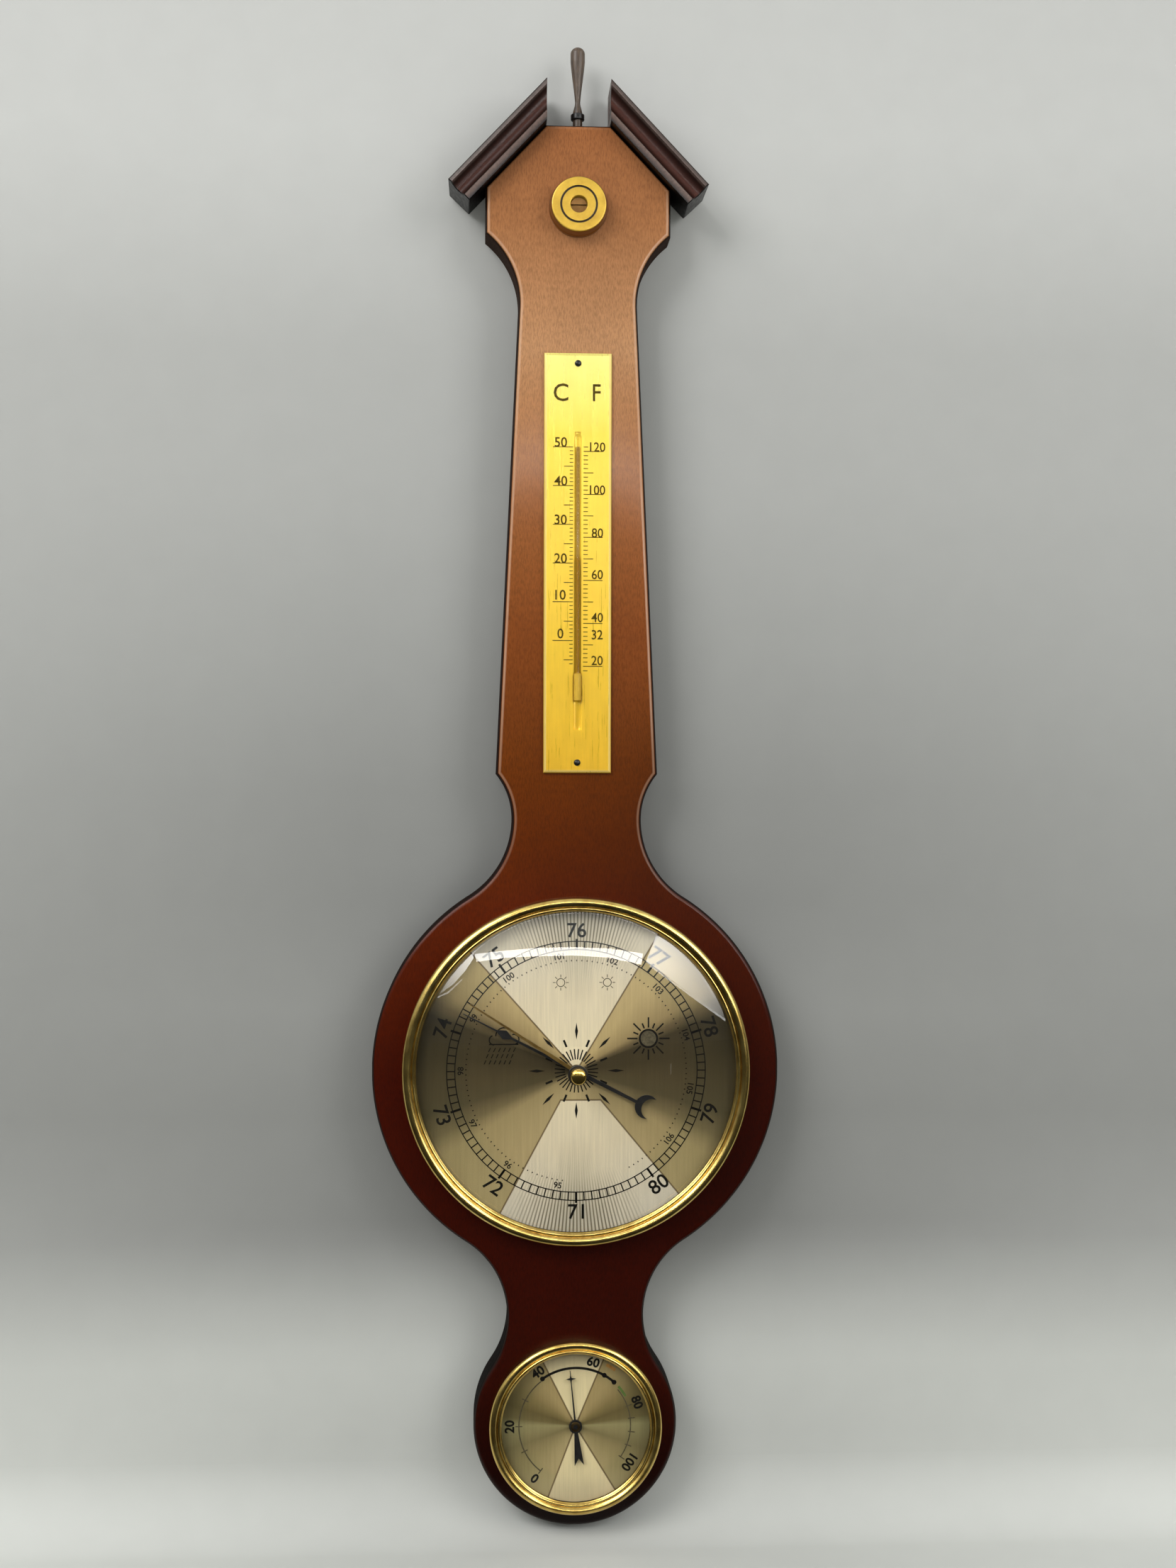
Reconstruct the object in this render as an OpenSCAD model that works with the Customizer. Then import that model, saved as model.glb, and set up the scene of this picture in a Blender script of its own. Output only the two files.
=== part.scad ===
// Wall weather station: a shaped wooden board with a thermometer, an aneroid
// barometer and a hair-strip hygrometer. Millimetres, +Z up, front faces -Y,
// the back lies on the wall plane Y = 0, origin at the hanging hole.
// Every piece is drawn lying down (x right, y up, z towards the viewer, wall
// at z = 0) and is stood up by the module upright().

/* [Board] */
// Thickness of the board
board_t = 16; // [14:0.5:24]
// Height of the board's top edge above the hanging hole
head_top = 21.4; // [17:0.1:30]
// Half width of the flat at the very top
roof_half = 13.2; // [9:0.1:16]
// Half width of the head
head_half = 37.7; // [34:0.1:44]
// Height of the head's upright sides
head_side = 18.8; // [16:0.1:30]
// Radius of the hollow curve below the head
head_cut_r = 36; // [28:0.5:60]
// Half width of the shaft at its top
shaft_top_half = 24.1; // [20:0.1:30]
// Half width of the shaft at its foot
shaft_foot_half = 32.8; // [30:0.1:38]
// Depth of the shaft's foot below the hanging hole
shaft_foot_drop = 242; // [238:0.5:246]
// Half width of the upper neck
neck_half = 26.2; // [22:0.1:29]
// Radius of the neck's lower curve
neck_foot_r = 37.3; // [30:0.1:44]
// Radius of the round that carries the barometer
main_r = 82.5; // [79:0.1:90]
// Radius of the round that carries the hygrometer
low_r = 41.2; // [38:0.1:46]
// Radius of the hollow curves between the two rounds
waist_r = 36; // [26:0.1:50]
// Drop from the hanging hole to the barometer's centre
main_drop = 362; // [358:0.5:372]
// Distance between the two dial centres
dial_gap = 143.6; // [140:0.1:156]

/* [Pediment and finial] */
// Slope of the roof mouldings in degrees
roof_angle = 46.5; // [40:0.5:50]
// Face width of a roof moulding
roof_w = 11.4; // [9:0.1:15]
// Depth of a roof moulding from the wall
roof_t = 22; // [19:0.5:28]
// Length of a roof moulding along its inner edge
roof_len = 45.2; // [42:0.1:54]
// Radius of the hollow along a roof moulding
cove_r = 3.6; // [2:0.1:3.8]
// Width of the outer lip of a roof moulding
lip_w = 1.7; // [1:0.1:2]
// Diameter of the dowels that hold the mouldings
dowel_d = 4; // [3:0.5:5]
// Length of the dowels
dowel_len = 12; // [10:1:16]
// Height of the finial above the board
finial_h = 34.2; // [28:0.1:50]
// Radius of the finial's bulb
finial_bulb_r = 2.95; // [2.2:0.05:4.5]
// Radius of the finial's foot and tenon
finial_foot_r = 1.95; // [1.5:0.05:2.2]
// Height of the finial's foot below its ring
finial_foot_h = 4.3; // [3:0.1:8]
// Radius of the ring round the finial
finial_ring_r = 2.8; // [2.6:0.1:4]
// Height of the ring round the finial
finial_ring_h = 2.5; // [1.2:0.1:3.5]
// Length of the finial's tenon in the board
finial_tenon = 7; // [5:0.5:8]

/* [Rosette and hanger] */
// Drop from the hanging hole to the rosette's centre
rosette_drop = 12.5; // [11.5:0.1:16]
// Radius of the rosette at the board
rosette_r = 12; // [10:0.1:16]
// Radius of the rosette's front face
rosette_face_r = 11.3; // [9:0.1:12]
// Thickness of the rosette
rosette_t = 5.8; // [5:0.1:9]
// Radius of the groove in the rosette's face
rosette_groove_r = 7.2; // [5.5:0.1:8]
// Length of the rosette's screw in the wood
rosette_screw_len = 9.3; // [7:0.1:10]
// Radius of the rosette's middle hole
rosette_hole_r = 3.45; // [3.3:0.05:4.5]
// Width of the hanger plate
hanger_w = 44; // [42:1:50]
// Height of the hanger plate
hanger_h = 22; // [22:0.5:26]
// Thickness of the hanger plate
hanger_t = 1.2; // [0.8:0.1:2]
// Diameter of the round hole that the wall screw's head enters
keyhole_d = 9.5; // [8:0.1:10.5]
// Width of the slot that the wall screw's neck slides into
slot_w = 4.5; // [3.5:0.1:5.5]
// Height of the slot's end above the round hole
slot_rise = 4.6; // [4:0.1:5]
// Length of the hanger's screws
hanger_screw_len = 10; // [8:0.5:12]
// Depth of the pocket for the wall screw's head
pocket_t = 8; // [6:0.5:9]

/* [Thermometer] */
// Width of the thermometer plate
plate_w = 27.5; // [24:0.1:36]
// Height of the thermometer plate
plate_h = 170; // [164:0.5:172]
// Thickness of the thermometer plate
plate_t = 1.5; // [1.2:0.1:2.4]
// Drop from the hanging hole to the middle of the plate
plate_drop = 156.6; // [154:0.1:158]
// Width of the bevel round the plate
plate_bevel = 1; // [0.4:0.1:1.1]
// Distance from the plate's ends to its pins
pin_inset = 4.2; // [3:0.1:6]
// Length of a pin in the wood
pin_len = 7.5; // [5:0.5:8]
// Diameter of a pin
pin_d = 1.4; // [1.2:0.1:1.6]
// Radius of a pin's head
pin_head_r = 1.35; // [1:0.05:1.8]
// Length of the glass tube without its bulb and tail
tube_len = 97; // [90:0.5:104]
// Outer radius of the glass tube
tube_r = 1.5; // [1.3:0.05:1.8]
// Radius of the tube's bore
bore_r = 0.5; // [0.4:0.05:0.8]
// Outer radius of the bulb
bulb_r = 1.9; // [1.85:0.05:2.4]
// Length of the bulb
bulb_len = 11; // [8:0.5:13]
// Length of the solid glass tail below the bulb
tail_len = 11; // [6:0.5:12]
// Height of the liquid column above the bulb
column_len = 47; // [20:1:88]
// Drop from the plate's middle to the top of the bulb
bulb_drop = 45; // [43:0.5:48]

/* [Barometer] */
// Radius of the opening in the barometer's bezel
opening_r = 64.6; // [60:0.1:68]
// Width of the bezel's band
bezel_w = 5.65; // [5.6:0.05:8]
// Height of the bezel in front of the board
bezel_h = 7.7; // [7.5:0.1:9]
// Rise of the domed glass
dome_h = 9; // [7:0.1:12]
// Thickness of the glass
glass_t = 2; // [1.6:0.1:2.2]
// Distance from the opening's edge in to the round case behind the dial
case_inset = 6.2; // [5.5:0.1:7]
// Wall thickness of the case
case_wall = 0.8; // [0.6:0.1:1.0]
// Gap between the case's back and the wall
case_gap = 0.6; // [0.5:0.1:0.8]
// Radius of the dial plates' rim beyond the opening
dial_lap = 2.4; // [1.6:0.1:2.6]
// Thickness of the dial plate
dial_t = 0.8; // [0.6:0.1:1.0]
// Height of the ring between the dial and the glass
seat_ring_h = 1.8; // [1.6:0.1:2.4]
// Length of the case's screws in the wood
case_screw_len = 7.5; // [5:0.5:8]
// Diameter of the case's screws
case_screw_d = 2; // [1.6:0.1:2.4]
// Thickness of the movement's bed plate
bed_t = 1.4; // [1:0.1:1.6]
// Gap between the bed plate and the case round it
bed_gap = 0.6; // [0.4:0.1:3]
// Angle of the indicator hand from straight up, clockwise
hand_angle = -62.9; // [-180:0.1:144]
// Length of the indicator hand
hand_len = 51.3; // [40:0.1:58]
// Angle of the set hand from straight up, clockwise
set_angle = -57.4; // [-180:0.1:180]
// Length of the set hand
set_len = 51; // [40:0.1:52]
// Radius of the set knob
knob_r = 3.15; // [2.6:0.05:5]
// Height of the set knob
knob_h = 5.6; // [4:0.1:9]

/* [Movement] */
// Gear module
gear_m = 0.4; // [0.38:0.01:0.42]
// Teeth of the pinion
pinion_teeth = 10; // [10:1:11]
// Teeth that the whole wheel of the sector would have
sector_teeth = 140; // [136:1:142]
// Direction from the pinion to the sector's pivot in degrees
sector_dir = 18; // [16:1:20]
// Thickness of the sector
sector_t = 1; // [0.8:0.1:1.4]
// Travel of the sector as the pressure rises, in degrees
sector_rise = 14.8; // [12:0.1:15]
// Travel of the sector as the pressure falls, in degrees
sector_fall = 8.4; // [6:0.1:9]
// Distance from the sector's pivot to its tail pin
tail_r = 6; // [5.5:0.1:7]
// Height of the rocking shaft above the fork's contact with the pin
fork_r = 7.5; // [7:0.1:7.8]
// Distance from the rocking shaft to the capsule's post
short_arm = 2.5; // [2:0.1:3]
// Radius of the vacuum capsule
capsule_r = 20; // [16:0.1:20.5]
// Height of the capsule's drum
capsule_h = 5; // [4.5:0.1:5.2]
// Distance from the dial's centre line to the capsule's centre
capsule_x = 24.5; // [24:0.1:25]
// Radius of the movement's pillars
pillar_r = 2.5; // [2:0.1:3]
// Distance of each pillar from the centre line
pillar_x = 16; // [14:0.1:18]
// Drop of the pillars below the dial's centre
pillar_drop = 26; // [25:0.1:30]
// Pitch of the hairspring's turns
hair_pitch = 1.3; // [1:0.1:1.5]
// Turns of the hairspring
hair_turns = 4; // [2:1:4]

/* [Hygrometer] */
// Radius of the opening in the hygrometer's bezel
small_opening_r = 29.9; // [27:0.1:32]
// Width of the hygrometer's bezel
small_bezel_w = 5; // [4.9:0.05:7]
// Height of the hygrometer's bezel in front of the board
small_bezel_h = 6.4; // [6.2:0.1:8]
// Rise of the hygrometer's glass
small_dome_h = 2; // [1.4:0.1:4]
// Thickness of the hygrometer's glass
small_glass_t = 1.5; // [1.2:0.1:1.7]
// Distance from the opening's edge in to the hygrometer's case
small_case_inset = 0.7; // [0.4:0.1:1.2]
// Length of the hygrometer's screws in the wood
small_screw_len = 6.5; // [5:0.5:8]
// Diameter of the hygrometer's screws
small_screw_d = 1.6; // [1.4:0.1:1.8]
// Gap between the hygrometer's case and the wall
small_case_gap = 3; // [2:0.1:4]
// Angle of the hygrometer's pointer from straight up, clockwise
small_hand_angle = -5.8; // [-142:0.1:125]
// Length of the hygrometer's pointer
small_hand_len = 22.6; // [18:0.1:26]
// Length of the tail of the hygrometer's pointer
small_tail_len = 15.8; // [10:0.1:20]
// Radius of the cap in the middle of the pointer
small_hub_r = 2.65; // [2:0.05:3.5]
// Pitch of the humidity coil's turns
coil_pitch = 2.4; // [1.6:0.1:2.6]
// Turns of the humidity coil
coil_turns = 5; // [3:1:5]
// Width of the coil's strip
coil_w = 4; // [3:0.1:5]

/* [Fits] */
// Radial running clearance of a shaft in its bearing
run_gap = 0.05; // [0.02:0.01:0.09]
// Radial clearance of pieces that are pushed together
seat_gap = 0.02; // [0.01:0.01:0.05]
// Air between pieces that pass each other
air = 0.3; // [0.2:0.05:0.4]

/* [Hidden] */
$fn = 96;

wood = [0.45, 0.22, 0.11];
dark_wood = [0.14, 0.09, 0.07];
brass = [0.83, 0.68, 0.25];
steel = [0.62, 0.62, 0.6];
black = [0.08, 0.08, 0.08];
silver = [0.8, 0.76, 0.64];
clear = [0.8, 0.88, 0.9, 0.4];
cut = 0.01;

// Radii that follow the openings
bezel_r = opening_r + bezel_w;
case_r = opening_r - case_inset;
bed_r = case_r - case_wall - bed_gap;
small_bezel_r = small_opening_r + small_bezel_w;
small_case_r = small_opening_r - small_case_inset;

// Heights in front of the wall inside the barometer
front_z = board_t;
case_back_z = case_gap;
bed_z = case_back_z + case_wall;
bed_top = bed_z + bed_t;
flange_z = front_z + case_wall;
dial_top = flange_z + dial_t;
rim_z = dial_top + seat_ring_h;
rim_top = rim_z + glass_t;
flange_r = bezel_r - 1.75;
glass_r = flange_r - 0.9;
dome_foot_r = opening_r - 0.3;
dome_r = (pow(dome_foot_r, 2) + pow(dome_h, 2)) / (2 * dome_h);
dome_top = rim_top + dome_h;
dome_z = dome_top - dome_r;

// The movement, measured from the dial's centre
pinion_r = gear_m * pinion_teeth / 2;
sector_r = gear_m * sector_teeth / 2;
gear_gap = pinion_r + sector_r;
pivot = [gear_gap * cos(sector_dir), gear_gap * sin(sector_dir)];
sector_z = bed_top + 1.3;
pin_r = 0.5;
contact_z = sector_z + sector_t + 1.1;
contact_h = 0.6;
pin_top = contact_z + contact_h;
shaft_z = contact_z + fork_r;
shaft_r = 1.2;
shaft_y = pivot[1];
capsule = [-capsule_x, shaft_y - short_arm];
bar_t = 0.8;
drum_z = bed_top + bar_t;
bridge_z = 14;
bridge_t = 1.2;
hand_z = dial_top + 1.3;
hand_t = 0.4;
set_z = hand_z + 1.9;
screw_r = 1.2;

// Heights inside the hygrometer
small_flange_z = front_z + 0.6;
small_dial_top = small_flange_z + 0.6;
small_rim_z = small_dial_top + 2.2;
small_rim_top = small_rim_z + small_glass_t;
small_flange_r = small_bezel_r - 1.2;
small_glass_r = small_flange_r - 0.7;
small_dome_foot_r = small_opening_r - 0.3;
small_dome_r = (pow(small_dome_foot_r, 2) + pow(small_dome_h, 2)) / (2 * small_dome_h);
small_dome_z = small_rim_top + small_dome_h - small_dome_r;
small_back_z = small_case_gap;
small_wall = 0.6;
coil_z = small_back_z + small_wall + 3.2;
coil_t = 0.5;
coil_in_r = 2.8;

// The board's outline
shoulder_drop = (head_half - roof_half) * tan(roof_angle);
side_top = head_top - shoulder_drop;
side_foot = side_top - head_side;
head_cut_x = shaft_top_half + head_cut_r;
head_cut_y = side_foot - sqrt(pow(head_cut_r, 2) - pow(head_cut_x - head_half, 2));
foot_y = -shaft_foot_drop;
main_y = -main_drop;
low_y = -main_drop - dial_gap;
neck_foot_x = neck_half + neck_foot_r;
neck_y = main_y + sqrt(pow(main_r + neck_foot_r, 2) - pow(neck_foot_x, 2));
neck_top_r = (pow(shaft_foot_half - neck_half, 2) + pow(foot_y - neck_y, 2))
  / (2 * (shaft_foot_half - neck_half));
waist_a = (pow(main_r + waist_r, 2) - pow(low_r + waist_r, 2) + pow(dial_gap, 2)) / (2 * dial_gap);
waist_x = sqrt(pow(main_r + waist_r, 2) - pow(waist_a, 2));
waist_y = main_y - waist_a;

function polar(r, a) = [r * cos(a), r * sin(a)];
function toward(from, to, r) = from + r * (to - from) / norm(to - from);
// Point where a line from p touches a circle on the side of the middle line
function touch(p, c, r) =
  let (d = norm(c - p), way = atan2(c[1] - p[1], c[0] - p[0]) + asin(r / d))
  p + sqrt(d * d - r * r) * [cos(way), sin(way)];

module upright() rotate([90, 0, 0]) children();
module at_main() upright() translate([0, main_y, 0]) children();
module at_low() upright() translate([0, low_y, 0]) children();
module both() { children(); mirror([1, 0, 0]) children(); }
module disc(r, z0, z1) translate([0, 0, z0]) cylinder(r = r, h = z1 - z0);
module ring(r0, r1, z0, z1) difference() {
  disc(r1, z0, z1);
  disc(r0, z0 - 1, z1 + 1);
}
module plate(z0, z1) translate([0, 0, z0]) linear_extrude(z1 - z0) children();
module ray(a) rotate([0, 0, -a]) children();

// A slotted or plain screw standing on z = 0 with its head above
module screw(head_r, head_h, shank_r, shank_len, slot = 0.5) {
  difference() {
    cylinder(r = head_r, h = head_h, $fn = 48);
    if (slot > 0) translate([-head_r - 1, -slot / 2, head_h * 0.5])
      cube([2 * head_r + 2, slot, head_h]);
  }
  translate([0, 0, -shank_len]) cylinder(r = shank_r, h = shank_len + cut, $fn = 36);
}

// Half ring for spirals, upper half for side 1 and lower half for side -1
module half_ring(r, t, side) intersection() {
  difference() { circle(r + t / 2); circle(r - t / 2); }
  translate([-2 * r - t, side > 0 ? 0 : -2 * r - t]) square([4 * r + 2 * t, 2 * r + t]);
}
module spiral(r, pitch, turns, t) for (k = [0 : turns - 1]) {
  half_ring(r + k * pitch, t, 1);
  translate([pitch / 2, 0]) half_ring(r + k * pitch + pitch / 2, t, -1);
}

// Involute teeth
function swing(rb, r) = r <= rb ? 0 :
  let (u = sqrt(pow(r / rb, 2) - 1)) u * 180 / PI - atan(u);
module tooth(teeth, tip, root, play) {
  rp = gear_m * teeth / 2;
  rb = rp * cos(20);
  half = 90 / teeth - play / (2 * rp) * 180 / PI + swing(rb, rp);
  low = max(rb, rp - root + 0.06);
  flank = [for (k = [0 : 3]) low + k * (rp + tip - low) / 3];
  polygon(concat(
    [polar(rp - root - 0.2, -half)],
    [for (r = flank) polar(r, swing(rb, r) - half)],
    [for (k = [3 : -1 : 0]) polar(flank[k], half - swing(rb, flank[k]))],
    [polar(rp - root - 0.2, half)]));
}
module wedge(r, a0, a1) polygon([[0, 0], polar(2 * r, a0), polar(2 * r, (a0 + a1) / 2), polar(2 * r, a1)]);

module board_half() {
  main_c = [0, main_y];
  low_c = [0, low_y];
  cut_c = [head_cut_x, head_cut_y];
  foot = [shaft_foot_half, foot_y];
  neck_c = [neck_foot_x, neck_y];
  waist_c = [waist_x, waist_y];
  difference() {
    polygon([
      [-1, main_y], main_c, toward(neck_c, main_c, neck_foot_r), [neck_half, neck_y], foot,
      touch(foot, cut_c, head_cut_r), [head_half, side_foot], [head_half, side_top],
      [roof_half, head_top], [-1, head_top]
    ]);
    translate(cut_c) circle(head_cut_r);
    translate([neck_half + neck_top_r, neck_y]) circle(neck_top_r);
    intersection() {
      translate(neck_c) circle(neck_foot_r);
      translate([0, neck_y - 2 * neck_foot_r]) square(2 * neck_foot_r);
    }
  }
  difference() {
    polygon([[-1, low_y], low_c, toward(waist_c, low_c, waist_r),
      toward(waist_c, main_c, waist_r), main_c, [-1, main_y]]);
    translate(waist_c) circle(waist_r);
  }
}
module board_blank() {
  both() linear_extrude(board_t) board_half();
  translate([0, main_y, 0]) cylinder(r = main_r, h = board_t, $fn = 180);
  translate([0, low_y, 0]) cylinder(r = low_r, h = board_t, $fn = 120);
}

// Places that several pieces share
case_screw_r = (case_r + opening_r) / 2 + 0.6;
case_screw_turns = [0, 120, 240];
small_screw_r = small_case_r + 2.1;
small_screw_turns = [60, 180, 300];
pin_y = [-plate_drop + plate_h / 2 - pin_inset, -plate_drop - plate_h / 2 + pin_inset];
hanger_screw_x = hanger_w / 2 - 5;
dowel_s = [8, 26];
bed_screw_spots = [[-30, -34], [38, -26], [2, 46]];
pillar_spots = [[-pillar_x, -pillar_drop], [pillar_x, -pillar_drop]];
bar_screw_spot = [capsule[0], capsule[1] - capsule_r - 5];
adjust_spot = [capsule[0], capsule[1] + 14];
bracket_x = [capsule[0] - capsule_r - 3.7, pivot[0] + tail_r + 5];
bracket_t = 1.2;
bracket_foot_t = 0.9;
tip_gap = 0.5;
bed_screw_r = 0.9;
post_screw_r = 0.8;
adjuster_r = 1.25;
tenon_r = 1.5;
hanger_screw_r = 1.5;
rosette_screw_r = 1.6;

// Hole through the plates behind the movement
module hole(p, r) translate([p[0], p[1], 0]) cylinder(r = r + seat_gap, h = sector_z, $fn = 36);
// Hole from the board's front, with some air under the screw's tip
module drilled(r, len) translate([0, 0, board_t - len - tip_gap])
  cylinder(r = r + seat_gap, h = len + tip_gap + 1, $fn = 36);

module backboard() color(wood) upright() difference() {
  board_blank();
  translate([0, main_y, -1]) cylinder(r = case_r + air, h = board_t + 2, $fn = 120);
  translate([0, low_y, -1]) cylinder(r = small_case_r + air, h = board_t + 2);
  // recess and pocket behind the hanger plate
  translate([-hanger_w / 2 - air, -hanger_h / 2 - air, -1])
    cube([hanger_w + 2 * air, hanger_h + 2 * air, hanger_t + 1]);
  for (y = [0, slot_rise]) translate([0, y, 0])
    cylinder(r = keyhole_d / 2 + 1, h = hanger_t + pocket_t);
  plate(0, hanger_t + pocket_t) translate([-keyhole_d / 2 - 1, 0])
    square([keyhole_d + 2, slot_rise]);
  both() translate([hanger_screw_x, 0, 0])
    cylinder(r = hanger_screw_r + seat_gap, h = hanger_t + hanger_screw_len, $fn = 36);
  translate([0, -rosette_drop]) drilled(rosette_screw_r, rosette_screw_len);
  for (y = pin_y) translate([0, y]) drilled(pin_d / 2, pin_len);
  translate([0, main_y]) for (a = case_screw_turns) ray(a)
    translate([0, case_screw_r]) drilled(case_screw_d / 2, case_screw_len);
  translate([0, low_y]) for (a = small_screw_turns) ray(a)
    translate([0, small_screw_r]) drilled(small_screw_d / 2, small_screw_len);
  both() roof_frame() dowel_holes();
  translate([0, head_top + 1, board_t / 2]) rotate([90, 0, 0])
    cylinder(r = finial_foot_r + seat_gap, h = finial_tenon + 1.4, $fn = 48);
}

// x away from the board's shoulder, y along the moulding, z off the wall
module roof_frame() translate([roof_half, head_top, 0]) rotate([0, 0, 90 - roof_angle])
  children();
module dowel_holes() for (s = dowel_s)
  translate([-dowel_len / 2 - 0.3, -s, board_t / 2]) rotate([0, 90, 0])
    cylinder(r = dowel_d / 2 + seat_gap, h = dowel_len + 0.6, $fn = 36);
module roof_profile() difference() {
  square([roof_w, roof_t]);
  translate([roof_w - lip_w - cove_r, roof_t + 0.15]) circle(cove_r);
  translate([-1, roof_t - 0.7]) square([roof_w - lip_w - 2 * cove_r + 1.2, 2]);
}
module pediment_shape() color(dark_wood) upright() difference() {
  intersection() {
    roof_frame() rotate([90, 0, 0]) translate([0, 0, -2 * roof_w])
      linear_extrude(roof_len + 2 * roof_w) roof_profile();
    translate([roof_half - 0.25, -roof_len, -1]) cube([2 * roof_len, 3 * roof_len, roof_t + 2]);
  }
  roof_frame() dowel_holes();
}
module pediment_right() pediment_shape();
module pediment_left() mirror([1, 0, 0]) pediment_shape();
module pediment_dowels() color(wood) upright() both() roof_frame() for (s = dowel_s)
  translate([-dowel_len / 2, -s, board_t / 2]) rotate([0, 90, 0])
    cylinder(r = dowel_d / 2, h = dowel_len, $fn = 36);

// Radius of the finial above its ring: a flared foot, a thin waist and a long bulb
waist_part = 0.18;
swell_part = 0.78;
tip_part = 0.9;
function ease(t) = (1 - cos(180 * t)) / 2;
function swell(t) = 0.75 * t + 0.25 * ease(t);
function finial_r(t) = t < waist_part
  ? finial_foot_r - (finial_foot_r - finial_waist_r) * ease(t / waist_part)
  : t < tip_part
    ? finial_waist_r + (finial_bulb_r - finial_waist_r)
      * swell(min(1, (t - waist_part) / (swell_part - waist_part)))
    : finial_bulb_r * sqrt(max(0, 1 - pow((t - tip_part) / (1 - tip_part), 2)));
finial_waist_r = 0.36 * finial_bulb_r;
finial_start = finial_foot_h + finial_ring_h;
module at_finial() translate([0, -board_t / 2, head_top]) children();
module finial() color([0.3, 0.24, 0.2]) at_finial() {
  rotate_extrude($fn = 64) polygon(concat(
    [[0, -finial_tenon], [finial_foot_r, -finial_tenon], [finial_foot_r, finial_foot_h],
      [finial_foot_r - 0.4, finial_foot_h], [finial_foot_r - 0.4, finial_start]],
    [for (k = [0 : 23]) [finial_r(k / 24), finial_start + (finial_h - finial_start) * k / 24]],
    [[0, finial_h]]));
}
ring_edge = 0.45;
module finial_ring() color(black) at_finial() difference() {
  rotate_extrude($fn = 64) polygon([
    [finial_foot_r - 0.35, finial_foot_h], [finial_ring_r - ring_edge, finial_foot_h],
    [finial_ring_r, finial_foot_h + ring_edge], [finial_ring_r, finial_start - ring_edge],
    [finial_ring_r - ring_edge, finial_start], [finial_foot_r - 0.35, finial_start]]);
  translate([0, 0, finial_foot_h - 1]) cylinder(r = finial_foot_r - 0.4 + seat_gap, h = 5, $fn = 48);
}

module rosette() color(brass) upright() translate([0, -rosette_drop, board_t])
  rotate_extrude() difference() {
    polygon([[1.7, 0], [rosette_r, 0], [rosette_r, 1.6], [rosette_r - 0.3, 2.4],
      [rosette_face_r, rosette_t - 0.4], [rosette_face_r - 0.4, rosette_t], [1.7, rosette_t]]);
    translate([rosette_groove_r - 0.3, rosette_t - 0.7]) square([0.6, 2]);
    translate([-1, 1.5]) square([rosette_hole_r + 1, rosette_t]);
  }
module rosette_screw() color([0.45, 0.36, 0.25]) upright()
  translate([0, -rosette_drop, board_t + 1.5])
    screw(rosette_hole_r - 0.25, 2.2, rosette_screw_r, rosette_screw_len + 1.5, 0.8);

module hanger_plate() color(steel) upright() difference() {
  translate([-hanger_w / 2, -hanger_h / 2, 0]) cube([hanger_w, hanger_h, hanger_t]);
  disc(keyhole_d / 2, -1, hanger_t + 1);
  translate([-slot_w / 2, 0, -1]) cube([slot_w, slot_rise, hanger_t + 2]);
  translate([0, slot_rise, -1]) cylinder(r = slot_w / 2, h = hanger_t + 2, $fn = 48);
  both() translate([hanger_screw_x, 0, 0]) {
    disc(hanger_screw_r + seat_gap, -1, hanger_t + 1);
    translate([0, 0, -cut])
      cylinder(r1 = 2 * hanger_screw_r + cut, r2 = hanger_screw_r + seat_gap, h = hanger_t - 0.1, $fn = 48);
  }
}
module hanger_screws() color(steel) upright() both() translate([hanger_screw_x, 0, 0]) difference() {
  union() {
    translate([0, 0, 0.05])
      cylinder(r1 = 1.9 * hanger_screw_r, r2 = hanger_screw_r, h = hanger_t - 0.25, $fn = 48);
    translate([0, 0, hanger_t / 2]) cylinder(r = hanger_screw_r, h = hanger_screw_len, $fn = 36);
  }
  translate([-3, -0.3, -1]) cube([6, 0.6, 1.5]);
}

module thermometer_plate() color(brass) upright() translate([0, -plate_drop, board_t])
  difference() {
    intersection() {
      rotate([90, 0, 0]) linear_extrude(plate_h, center = true)
        bevel_profile(plate_w);
      rotate([90, 0, 90]) linear_extrude(plate_w, center = true)
        bevel_profile(plate_h);
    }
    for (y = pin_y) translate([0, y + plate_drop, -1])
      cylinder(r = pin_d / 2 + seat_gap, h = plate_t + 2, $fn = 24);
    translate([0, 0, plate_t - groove_t + tube_r]) rotate([90, 0, 0]) translate([0, 0, bulb_drop])
      mirror([0, 0, 1]) cylinder(r = tube_r + seat_gap, h = tube_len + 1, $fn = 48);
    translate([0, -bulb_drop + 0.5, plate_t - groove_t + tube_r]) rotate([90, 0, 0])
      cylinder(r = bulb_r + seat_gap, h = bulb_len + tail_len + 1, $fn = 48);
  }
groove_t = 0.5;
module bevel_profile(w) polygon([[-w / 2, 0], [w / 2, 0], [w / 2, plate_t - plate_bevel * 0.6],
  [w / 2 - plate_bevel, plate_t], [plate_bevel - w / 2, plate_t], [-w / 2, plate_t - plate_bevel * 0.6]]);
module thermometer_pins() color(black) upright() for (y = pin_y) translate([0, y, board_t]) {
  translate([0, 0, plate_t]) intersection() {
    translate([0, 0, -pin_head_r * 0.45]) sphere(pin_head_r * 1.1, $fn = 48);
    cylinder(r = 2 * pin_head_r, h = 2 * pin_head_r);
  }
  translate([0, 0, -pin_len]) cylinder(r = pin_d / 2, h = plate_t + pin_len + 0.1, $fn = 24);
}
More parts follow.
